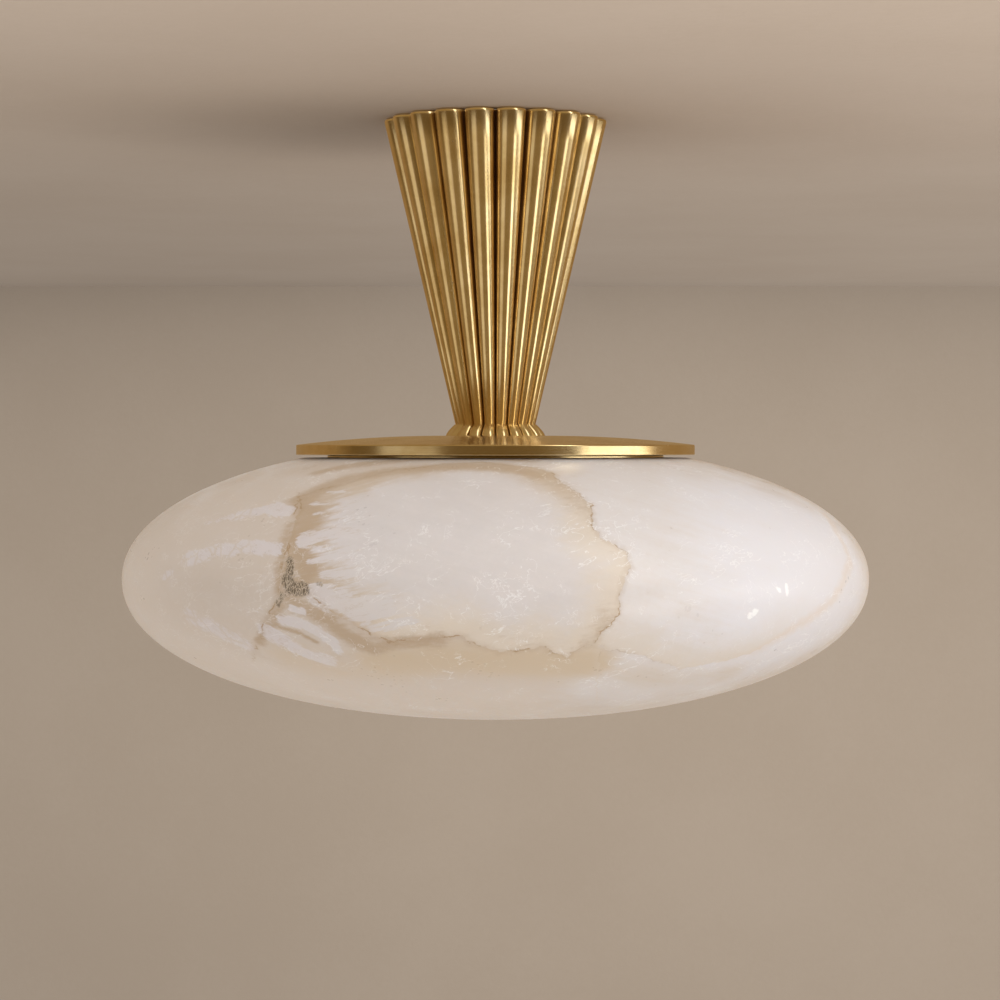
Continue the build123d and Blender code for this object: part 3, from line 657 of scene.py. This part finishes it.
def insideMarks(columns, rows, marks):
    inside = np.zeros(len(columns), bool)
    for (x1, y1), (x2, y2) in zip(marks, marks[1:] + marks[:1]):
        if y1 != y2:
            crossing = x1 + (rows - y1) * (x2 - x1) / (y2 - y1)
            inside ^= ((rows < y1) != (rows < y2)) & (columns < crossing)
    return inside


def paint(points, strokes):
    # the strongest of a list of soft strokes at each point
    field = np.zeros(len(points))
    for width, strength, marks in strokes:
        gap = gapToLine(points, marks)
        field = np.maximum(field, strength * np.exp(-(gap / width) ** 2))
    return field


def markStone(piece):
    # stores the listed veins and patches on the points of the stone
    count = len(piece.data.vertices)
    places = np.zeros(count * 3)
    piece.data.vertices.foreach_get("co", places)
    places = places.reshape(-1, 3)
    centre = np.array([0, 0, stoneMiddle])
    outer = centre + (places - centre) / np.maximum(stoneLevel(places), 0.05)[:, None]
    across = np.hypot(outer[:, 0], outer[:, 1])
    up = (outer[:, 2] - stoneMiddle) / stoneHalf
    steep = (across / stoneRadius) ** (stone["power"] - 1) / stoneRadius
    normal = np.column_stack([
        outer[:, 0] / np.maximum(across, mm) * steep,
        outer[:, 1] / np.maximum(across, mm) * steep,
        np.sign(up) * np.abs(up) ** (stone["power"] - 1) / stoneHalf,
    ])
    normal /= np.linalg.norm(normal, axis=1)[:, None]
    toCamera = cameraPlace - outer
    toCamera /= np.linalg.norm(toCamera, axis=1)[:, None]
    facing = np.clip((normal * toCamera).sum(axis=1) / stone["fadeFacing"], 0, 1)
    near = facing > 0
    columns, rows = stoneToPicture(outer)
    fields = {
        "front": facing,
        "milk": paint(outer, milkStrokes) * near,
        "amber": paint(outer, amberStrokes) * near,
        "honey": paint(outer, honeyStrokes) * near,
        "smoke": paint(outer, smokeStrokes) * near,
        "glint": paint(outer, glintStrokes) * near,
    }
    sides = {
        "ring": (ringVein + ringVein[:1], ringVein),
        "left": (leftVein, leftVein + leftSide),
        "right": (rightVein, rightVein + lowerSide),
    }
    for name, (line, region) in sides.items():
        gap = gapToLine(outer, line)
        inside = insideMarks(columns, rows, region) & near
        fields[name + "Gap"] = np.where(inside, -gap, gap)
        fields[name + "Near"] = np.clip(2 - gap / stone["nearReach"], 0, 1) * near
    for name, field in fields.items():
        layer = piece.data.attributes.new(name, "FLOAT", "POINT")
        layer.data.foreach_set("value", field.astype(np.float32))


def stoneOutline(radius, half, top, rows):
    # from the bottom pole up the belly to the height top
    last = asin(((top - stoneMiddle) / half) ** (stone["power"] / 2))
    outline = [(0.0, stoneMiddle - half)]
    for row in range(1, rows + 1):
        turn = (last + pi / 2) * row / rows - pi / 2
        up = half * abs(sin(turn)) ** (2 / stone["power"]) * (1 if turn > 0 else -1)
        outline.append((radius * cos(turn) ** (2 / stone["power"]), stoneMiddle + up))
    return outline


stoneLook = {
    "white": (0.70, 0.645, 0.62),
    "bright": (0.72, 0.68, 0.685),
    "core": (0.655, 0.595, 0.568),
    "cream": (0.68, 0.582, 0.485),
    "beige": (0.605, 0.512, 0.437),
    "milk": (0.655, 0.59, 0.578),
    "amber": (0.475, 0.35, 0.24),
    "honey": (0.60, 0.475, 0.345),
    "vein": (0.38, 0.24, 0.12),
    "orange": (0.70, 0.55, 0.42),
    "smoke": (0.15, 0.11, 0.07),
    "thread": (0.55, 0.44, 0.33),
    "edge": (0.76, 0.665, 0.59),
    "flecksAndGlints": (0.88, 0.85, 0.83),
}


def stoneFinish():
    finish = Finish("alabaster", {
        "Subsurface Weight": 0.2,
        "Subsurface Radius": (1.0, 0.72, 0.5),
        "Subsurface Scale": 6 * mm,
        "Coat Weight": 0.1,
        "Coat Roughness": 0.24,
        "Sheen Weight": 0.1,
        "Sheen Roughness": 0.35,
        "IOR": 1.52,
    })
    place = finish.place
    x, y, z = finish.split(place)
    front = finish.attribute("front")
    back = 1 - front

    # textures: clouds, patches, grains, and fibres that flow across the stone
    cloud = finish.noise(finish.stretch(place, 1, 1, 2.0), 13, 6, 0.6)
    patch = finish.noise(finish.stretch(place, 1, 1, 1.6), 42, 5, 0.65)
    fine = finish.noise(place, 420, 5, 0.65)
    grain = finish.cells(finish.shift(place, fine, 0.0015), 300)
    scallop = finish.cells(finish.shift(place, fine, 0.002), 230)
    fibres = finish.noise(finish.join(x * 70 + z * 60, y * 70, z * 420 - x * 60), 1.0, 6, 0.68)
    wisps = finish.noise(finish.join(x * 40 + z * 70, y * 40, z * 260 + x * 75), 1.0, 7, 0.72, 0.6)
    rising = finish.noise(finish.join(x * 60, y * 60, z * 540 - x * 130), 1.0, 6, 0.7, 0.3)
    falling = finish.noise(finish.join(x * 90, y * 90, z * 430 + x * 200), 1.0, 6, 0.7, 0.3)
    wobble = (finish.noise(place, 120, 5, 0.6) - 0.5) * 5 + (fine - 0.5) * 2.2 + (scallop - 0.45) * 2.4
    broken = finish.step(finish.noise(place, 110, 4, 0.6), 0.44, 0.6)
    mottle = (cloud - 0.5) * 0.7 + (patch - 0.5) * 0.6 + (wisps - 0.5) * 0.6 + (fine - 0.5) * 0.35

    # white stone to the right of the ring, and beige to its left
    ringGap = finish.attribute("ringGap") + wobble
    inside = finish.step(ringGap, -0.35, 0.35, 1, 0) * front
    side = finish.step(x + (patch - 0.5) * 0.04, 0.01, 0.05) * front * (1 - inside)
    pale = side * 0.85 + back * finish.step(cloud, 0.45, 0.6) * 0.7 + mottle * 0.9 + (grain - 0.4) * 0.15
    colour = finish.blend(finish.step(pale, -0.1, 1.1), stoneLook["beige"], stoneLook["white"])
    # painted light: the right side, towards the side lamp, is lightened to a brighter, cooler white, broken
    # by random wisps and patches
    bright = finish.step(x, 0.05, 0.14) * side + (wisps - 0.5) * 0.9 + (patch - 0.5) * 0.8
    colour = finish.blend(finish.step(bright, 0.1, 1.0), colour, stoneLook["bright"])

    # cream above the right vein, and honey under it and under the ring
    rightGap = finish.attribute("rightGap") + wobble
    below = finish.step(rightGap, -0.4, 0.4, 1, 0)
    margin = finish.step(rightGap + (patch - 0.5) * 16, 0, 26, 0.75, 0) * (1 - below)
    margin = margin * side * finish.step(x, 0.12, 0.17, 1, 0)
    colour = finish.blend(margin, colour, stoneLook["cream"])
    honey = finish.attribute("honey") + (cloud - 0.5) * 0.6 + (wisps - 0.5) * 0.7
    honey = finish.step(honey, 0.0, 0.9) * (1 - inside) * below.larger(finish.step(x, 0.045, 0.06, 1, 0))
    colour = finish.blend(honey, colour, stoneLook["honey"])

    # inside the ring: cream at the edge and white in the middle, feathered on the left
    leftShare = finish.step(x, -0.1, -0.03, 1, 0)
    depth = (rising - 0.5) * (leftShare * 95 + 8) + (patch - 0.5) * 20 - ringGap
    core = finish.blend(finish.step(x, -0.11, -0.05), stoneLook["milk"], stoneLook["core"])
    # towards the top, under the cap, the edge turns tan: the stone's own tan with painted shade from the cap
    edge = (leftShare * 0.8).larger(finish.step(z, -0.212, -0.194, 0, 0.6))
    edge = finish.blend(edge, stoneLook["cream"], stoneLook["amber"])
    middle = finish.blend(finish.step(depth - leftShare * 4, 3, 26), edge, core)
    middle = finish.scale(middle, 1 + mottle * 0.16)
    colour = finish.blend(inside, colour, middle)

    # tan along the ring's edge, the left vein and the triangle
    amber = finish.attribute("amber") + (fibres - 0.5) * 1.0 + (fine - 0.5) * 0.5 + (patch - 0.5) * 0.5
    amber = finish.step(amber, 0.2, 1.0) * finish.step(finish.attribute("amber"), 0.03, 0.3) * (1 - side)
    colour = finish.blend(amber * 0.9, colour, stoneLook["amber"])

    # feathers of milk white, broken by thin tan cracks
    streaks = rising * inside + falling * (1 - inside)
    milkField = finish.attribute("milk")
    ragged = (streaks - 0.5) * finish.step(x, -0.12, -0.11, 0.9, 1.9)
    milk = finish.step(milkField + ragged + (fine - 0.5) * 0.4, 0.45, 0.7) * finish.step(milkField, 0.03, 0.2)
    crossing = finish.shift(finish.join(x * 125 + z * 90, y * 125, z * 85), fine, 0.5)
    crack = finish.step(finish.cells(crossing, 1.0, "DISTANCE_TO_EDGE"), 0.03, 0.1, 1, 0) * (1 - inside)
    milk = milk * (1 - crack * finish.step(x, -0.125, -0.115, 0.85, 0))
    colour = finish.blend(milk * 0.88, colour, core)
    lines = finish.step(abs(streaks - 0.47), 0.0, 0.02, 1, 0) * milkField
    colour = finish.blend(lines * broken * 0.6, colour, stoneLook["amber"])

    # veins
    veins = []
    for name, width in (("ring", 0.8), ("left", 1.0), ("right", 0.8)):
        gap = abs(finish.attribute(name + "Gap") + wobble)
        line = finish.step(gap, 0.1, width, 1, 0) * (broken * 0.9 + 0.1)
        halo = finish.step(gap, 0.3, 3.5, 1, 0) * 0.22
        veins.append(line.larger(halo) * finish.attribute(name + "Near"))
    orange = finish.step(abs(rightGap), 0, 6, 0.42, 0) * finish.attribute("rightNear")
    colour = finish.blend(orange * finish.step(x, 0.1, 0.15), colour, stoneLook["orange"])
    rightward = finish.step(x, 0.05, 0.11, 0.5, 0.06)
    vein = veins[0].larger(veins[1]).larger(veins[2] * rightward)
    wander = finish.noise(place, 8.5, 7, 0.58, 0.5)
    backGap = abs(wander - 0.5)
    backVein = finish.step(backGap, 0.002, 0.011, 1, 0) * (broken * 0.7 + 0.3)
    backVein = backVein.larger(finish.step(backGap, 0.01, 0.07, 1, 0) * 0.4) * back
    vein = vein.larger(backVein)
    colour = finish.blend(vein * 0.85, colour, stoneLook["vein"])

    # crackled dark knot
    web = finish.cells(finish.shift(finish.stretch(place, 1, 1, 0.5), fine, 0.003), 760, "DISTANCE_TO_EDGE")
    smoke = finish.attribute("smoke")
    smoke = finish.step(smoke + (fine - 0.5) * 1.1, 0.35, 0.7) * finish.step(smoke, 0.05, 0.25)
    crackle = finish.blend(finish.step(web, 0.02, 0.13), stoneLook["thread"], stoneLook["smoke"])
    colour = finish.blend(smoke * 0.92, colour, crackle)

    # painted rim light: paler where the lower stone turns away from the eye, and least on its right side
    facing = finish.node("ShaderNodeLayerWeight", {}, {"Blend": 0.5}, "Facing")
    paintedRimLight = finish.step(facing, 0.35, 0.95, 0, 0.75) * finish.step(z, -0.25, -0.215, 1, 0.1)
    colour = finish.blend(paintedRimLight * (1 - side * 0.8), colour, stoneLook["edge"])

    # hair-thin bright crystal lines and specks, and painted highlight glints
    flowing = finish.join(x * 0.8 + z * 0.5, y * 0.8, z * 2.4 - x * 0.9)
    slanted = finish.join(x * 1.3 + z * 1.1, y * 1.2, z * 0.9 - x * 0.7)
    hairs = finish.thread(flowing, 46, 0.012, 0.3) * finish.step(finish.noise(place, 31), 0.5, 0.6)
    hairs = hairs.larger(finish.thread(slanted, 60, 0.012, 0.3) * finish.step(patch, 0.5, 0.62))
    hairs = hairs * finish.step(x, -0.14, 0.02, 0.45, 1)
    speck = finish.step(grain, 0.06, 0.14, 1, 0) * finish.step(patch, 0.45, 0.6)
    glint = finish.attribute("glint")
    glint = finish.step(glint + (fine - 0.5) * 0.9, 0.4, 0.7) * finish.step(glint, 0.05, 0.25)
    flecksAndGlints = (hairs * 0.6).larger(speck * 0.3).larger(glint)
    colour = finish.blend(flecksAndGlints * (1 - smoke), colour, stoneLook["flecksAndGlints"])

    rough = 0.34 + (cloud - 0.5) * 0.12 + (patch - 0.5) * 0.3 + (grain - 0.4) * 0.1 + vein * 0.15
    height = patch * 3 + grain * 0.35 + fine * 0.25 + flecksAndGlints * 0.1 - vein * 0.4
    finish.set({"Base Color": colour, "Roughness": rough, "Normal": finish.bump(height, 0.12 * mm, 0.35)})
    return finish


def makeStone():
    outline = stoneOutline(stoneRadius, stoneHalf, stoneHigh.z, stone["rows"])
    lipHeight = stoneHigh.z - stone["lip"]
    corner = stone["lipRound"]
    outline += [
        (stone["recessRadius"], stoneHigh.z),
        (stone["recessRadius"], stoneHigh.z - stone["recess"]),
        (stone["mouthRadius"] + corner, stoneHigh.z - stone["recess"]),
        (stone["mouthRadius"], stoneHigh.z - stone["recess"] - corner),
        (stone["mouthRadius"], lipHeight + corner),
        (stone["mouthRadius"] + corner, lipHeight),
    ]
    wall = stone["wall"]
    inner = stoneOutline(stoneRadius - wall, stoneHalf - wall, lipHeight, stone["innerRows"])
    outline += reversed(inner)
    piece = turned("alabasterShade", outline, stone["around"], stone["sharpAngle"])
    markStone(piece)
    dress(piece, "shade", "alabaster", stoneFinish(), "alabaster_shade")


# plain finishes of the hidden pieces
def metalFinish(name, light, dark, roughness, scale, metallic=1.0):
    # plated or turned metal: two tones in soft clouds, fine scratches and worn spots
    finish = Finish(name, {"Metallic": metallic})
    cloud = finish.noise(finish.place, scale, 4, 0.6)
    scratch = finish.noise(finish.stretch(finish.place, 300, 3200, 900), 1.0, 3, 0.6)
    spangle = finish.cells(finish.place, scale * 9)
    share = finish.step(cloud * 0.6 + spangle * 0.4, 0.2, 0.65)
    finish.set({
        "Base Color": finish.blend(share, dark, light),
        "Roughness": roughness + (scratch - 0.5) * 0.2 + (cloud - 0.5) * 0.15,
        "Normal": finish.bump(scratch + cloud * 0.5, 0.01 * mm, 0.5),
    })
    return finish


def softFinish(name, light, dark, roughness, scale, grain=0.03, constants=None):
    # moulded, drawn or fired material: two close tones, a fine grain and dull patches
    finish = Finish(name, constants or {})
    cloud = finish.noise(finish.place, scale, 4, 0.6)
    pores = finish.noise(finish.place, scale * 14, 3, 0.7)
    share = finish.step(cloud * 0.7 + pores * 0.3, 0.35, 0.65)
    finish.set({
        "Base Color": finish.blend(share, dark, light),
        "Roughness": roughness + (pores - 0.5) * 0.2,
        "Normal": finish.bump(pores, grain * mm, 0.5),
    })
    return finish


def earthFinish():
    # green insulation with a yellow stripe that winds round the lead
    finish = softFinish("earthSleeve", (0.13, 0.44, 0.11), (0.09, 0.34, 0.08), 0.45, 160)
    x, y, z = finish.split(finish.place)
    stripe = finish.step((x * 900 + y * 700 + z * 500).sine(), 0.1, 0.25)
    base = finish.shader.inputs["Base Color"].links[0].from_socket
    finish.set({"Base Color": finish.blend(stripe, Wire(finish, base), (0.80, 0.66, 0.06))})
    return finish


def phosphorFinish():
    # a white board with rows of yellow chips
    finish = softFinish("lightStick", (0.86, 0.85, 0.80), (0.80, 0.79, 0.73), 0.4, 300)
    chips = finish.cells(finish.place, 170)
    base = finish.shader.inputs["Base Color"].links[0].from_socket
    share = finish.step(chips, 0.35, 0.5, 0.85, 0.35)
    finish.set({"Base Color": finish.blend(share, Wire(finish, base), (0.88, 0.62, 0.12))})
    return finish


def glassFinish():
    finish = Finish("lampGlass", {"Transmission Weight": 1.0, "IOR": 1.47})
    film = finish.noise(finish.place, 130, 3, 0.6)
    finish.set({
        "Base Color": finish.blend(film, (0.97, 0.975, 0.965), (0.93, 0.94, 0.92)),
        "Roughness": 0.01 + film * 0.05,
        "Normal": finish.bump(film, 0.02 * mm, 0.3),
    })
    return finish


def dressNodes():
    steel = metalFinish("zincSteel", (0.66, 0.665, 0.65), (0.47, 0.475, 0.48), 0.34, 60)
    ceramic = softFinish("firedCeramic", (0.86, 0.845, 0.80), (0.78, 0.76, 0.70), 0.42, 90,
                         0.02, {"Coat Weight": 0.3, "Coat Roughness": 0.25})
    silicone = softFinish("clearSilicone", (0.78, 0.77, 0.73), (0.70, 0.69, 0.65), 0.55, 120,
                          0.03, {"Subsurface Weight": 0.3, "Subsurface Scale": 2 * mm})
    finishes = {
        "aged_brass": brassFinish("turnedBrass", roundAxis),
        "zinc_steel": steel,
        "terminal_brass": metalFinish("terminalBrass", (0.83, 0.66, 0.36), (0.63, 0.45, 0.2), 0.28, 150),
        "black_rubber": softFinish("blackRubber", (0.035, 0.034, 0.033), (0.018, 0.018, 0.018),
                                   0.75, 200, 0.05),
        "clear_silicone": silicone,
        "white_nylon": softFinish("whiteNylon", (0.86, 0.85, 0.81), (0.79, 0.78, 0.73), 0.5, 140),
        "lead_silicone": softFinish("leadSleeve", (0.82, 0.81, 0.77), (0.72, 0.70, 0.66), 0.55, 160),
        "earth_green": earthFinish(),
        "white_ceramic": ceramic,
        "nickel_pins": metalFinish("nickelPins", (0.76, 0.74, 0.70), (0.6, 0.58, 0.54), 0.16, 220),
        "lamp_glass": glassFinish(),
        "light_phosphor": phosphorFinish(),
    }
    for part in frame["record"]["subparts"]:
        finish = finishes.get(part["material_slot"])
        if finish is not None:
            materials = nodes[part["node"]].data.materials
            for index in range(len(materials)):
                materials[index] = finish.material
    print("dressed the packed nodes in", len(finishes), "finishes")


# the plain room round the light: each side shows only from inside, lets the soft light in, and
# isn't mirrored, because the surround has plain studio tones for the metal to reflect
room = {
    "back": 1.42,
    "side": 3.0,
    "front": 3.2,
    "floor": 1.4,
    "ceilingHole": 46.9 * mm,
    "ceilingReach": 6.0,
    "holeSides": 96,
    "wall": (0.455, 0.372, 0.296),
    "wallDeep": (0.436, 0.354, 0.279),
    "ceiling": (0.575, 0.466, 0.372),
    "ceilingDeep": (0.547, 0.438, 0.345),
    "floorColour": (0.50, 0.43, 0.36),
}


def wallShade(finish):
    # darker towards the ceiling and to the left, as the photograph shows
    x, y, z = finish.split(finish.place)
    # painted shade: darker into the corner under the ceiling, to the left, and low on the wall
    corner = (z * 8.0).growth() * 0.3
    low = finish.step(z, -0.95, -0.45, 0.08, 0)
    return finish.step(x, -0.75, 0.3, 0.86, 1) - corner - low


def ceilingShade(finish):
    # painted light and shade: brighter towards the eye and to the right, darker into the corner at the back
    # wall, with a painted soft shadow at the cone's left
    x, y, z = finish.split(finish.place)
    near = ((y + 0.35) * -1.8).growth().smaller(1.3) * 0.38
    corner = ((y - room["back"]) * 9.0).growth().smaller(1) * 0.06
    gap = ((x + 0.075) * (x + 0.075) + (y - 0.03) * (y - 0.03)) ** 0.5
    paintedConeShadow = finish.step(gap, 0.01, 0.2, 0.78, 1)
    return (near + 0.64 - corner) * finish.step(x, -0.45, 0.5, 0.86, 1.08) * paintedConeShadow


def plasterFinish(name, light, dark, shading=None):
    finish = Finish(name, {"Roughness": 0.9, "Specular IOR Level": 0.1})
    cloud = finish.noise(finish.place, 3.2, 6, 0.6)
    grain = finish.noise(finish.place, 170, 4, 0.7)
    colour = finish.blend(finish.step(cloud * 0.75 + grain * 0.25, 0.35, 0.65), dark, light)
    if shading is not None:
        colour = finish.scale(colour, shading(finish))
    finish.set({"Base Color": colour, "Normal": finish.bump(grain + cloud * 2, 0.4 * mm, 0.5)})
    seen = finish.node("ShaderNodeLightPath", {}, {}, "Is Camera Ray")
    seen = seen.larger(finish.node("ShaderNodeLightPath", {}, {}, "Is Transmission Ray"))
    outside = finish.node("ShaderNodeNewGeometry", {}, {}, "Backfacing")
    clear = finish.node("ShaderNodeBsdfTransparent", {}, {})
    surface = Wire(finish, finish.shader.outputs[0])
    mixed = finish.node("ShaderNodeMixShader", {}, {0: seen * (1 - outside), 1: clear, 2: surface})
    finish.tree.links.new(mixed.socket, finish.output.inputs[0])
    return finish


def roomSide(name, place, turn, size, finish):
    clearSelection()
    bpy.ops.mesh.primitive_plane_add(size=1, location=place, rotation=turn)
    side = bpy.context.active_object
    side.name = name
    side.scale = (*size, 1)
    bpy.ops.object.transform_apply(location=True, rotation=True, scale=True)
    side.data.materials.append(finish.material)


def makeRoom():
    wall = plasterFinish("plaster", room["wall"], room["wallDeep"], wallShade)
    above = plasterFinish("ceilingPlaster", room["ceiling"], room["ceilingDeep"], ceilingShade)
    floor = plasterFinish("floorPaint", room["floorColour"], room["wall"])
    deep = room["back"] + room["front"]
    wide = 2 * room["side"]
    tall = room["floor"]
    middle = (room["back"] - room["front"]) / 2
    quarter = pi / 2
    roomSide("backWall", (0, room["back"], -tall / 2), (quarter, 0, 0), (wide, tall), wall)
    roomSide("frontWall", (0, -room["front"], -tall / 2), (-quarter, 0, 0), (wide, tall), wall)
    roomSide("rightWall", (room["side"], middle, -tall / 2), (0, -quarter, 0), (tall, deep), wall)
    roomSide("leftWall", (-room["side"], middle, -tall / 2), (0, quarter, 0), (tall, deep), wall)
    roomSide("floor", (0, middle, -tall), (0, 0, 0), (wide, deep), floor)
    clearSelection()
    bpy.ops.mesh.primitive_circle_add(vertices=room["holeSides"], radius=room["ceilingHole"],
                                      location=(0, 0, 0))
    ceiling = bpy.context.active_object
    ceiling.name = "ceiling"
    bpy.ops.object.mode_set(mode="EDIT")
    size = room["ceilingReach"] / room["ceilingHole"]
    bpy.ops.mesh.extrude_edges_move()
    bpy.ops.transform.resize(value=(size, size, 1), center_override=(0, 0, 0))
    bpy.ops.mesh.select_all(action="SELECT")
    bpy.ops.mesh.normals_make_consistent(inside=False)
    bpy.ops.object.mode_set(mode="OBJECT")
    if ceiling.data.polygons[0].normal.z > 0:
        ceiling.data.flip_normals()
    ceiling.data.materials.append(above.material)


# soft studio light: a wide box at the right, a low one in front, a narrow one above the ceiling's
# level, which the room's planes don't shade, and a weak one at the left
# places and sizes are in metres, and radiance is in watts per square metre and steradian
lights = {
    "side": {
        "place": (2.2, -0.7, -0.25), "size": (2.1, 0.44),
        "radiance": 2.15, "colour": (1.0, 0.99, 0.98),
    },
    "front": {
        "place": (1.40, -1.49, -0.92), "size": (0.75, 0.7),
        "radiance": 2.4, "colour": (1.0, 0.98, 0.95),
    },
    "high": {
        "place": (0.85, -0.91, 0.80), "size": (0.3, 1.7),
        "radiance": 3.2, "colour": (1.0, 0.99, 0.97),
    },
    "left": {
        "place": (-1.66, -1.44, -0.64), "size": (1.5, 1.1),
        "radiance": 0.5, "colour": (1.0, 0.96, 0.89),
    },
}
lightAim = (0, 0, -0.25)
surround = {
    "dim": (0.78, 0.76, 0.735),
    "bright": (0.98, 0.975, 0.97),
    "level": (0.112, 0.066, 0.018),
    "below": (0.26, 0.18, 0.085),
    "above": (0.34, 0.245, 0.125),
    "behind": (0.32, 0.208, 0.098),
}


def makeLights():
    for name, values in lights.items():
        data = bpy.data.lights.new(name, "AREA")
        data.shape = "RECTANGLE"
        data.size, data.size_y = values["size"]
        data.energy = values["radiance"] * pi * data.size * data.size_y
        data.color = values["colour"]
        lamp = bpy.data.objects.new(name, data)
        lamp.location = values["place"]
        aim = np.array(lightAim) - np.array(values["place"])
        lamp.rotation_euler = mathutils.Vector(aim).to_track_quat("-Z", "Y").to_euler()
        lamp.visible_camera = False
        bpy.context.scene.collection.objects.link(lamp)
    makeSurround()


def makeSurround():
    # an even glow, brighter from the right, from behind, from above and, by half as much, from below,
    # and studio tones to mirror
    world = bpy.data.worlds.new("surround")
    bpy.context.scene.world = world
    world.use_nodes = True
    graph = Graph(world.node_tree)
    x, y, z = graph.split(graph.node("ShaderNodeTexCoord", {}, {}, "Generated"))
    glow = graph.step(x * 0.7 + y * 0.3 + z.larger(z * -0.5), -0.1, 1.0)
    glow = graph.blend(glow, surround["dim"], surround["bright"])
    tone = graph.blend(graph.step(z, -0.24, -0.1, 1, 0), surround["level"], surround["below"])
    tone = graph.blend(graph.step(z, 0.08, 0.3), tone, surround["above"])
    tone = graph.blend(graph.step(y, -0.1, 0.35), tone, surround["behind"])
    mirrored = graph.node("ShaderNodeLightPath", {}, {}, "Is Glossy Ray")
    graph.feed(world.node_tree.nodes["Background"].inputs[0], graph.blend(mirrored, glow, tone))


bpy.context.scene.view_settings.view_transform = "Standard"
makeCone()
makeCollar()
makeCap()
makeStone()
dressNodes()
makeRoom()
makeLights()

print("scene ready")
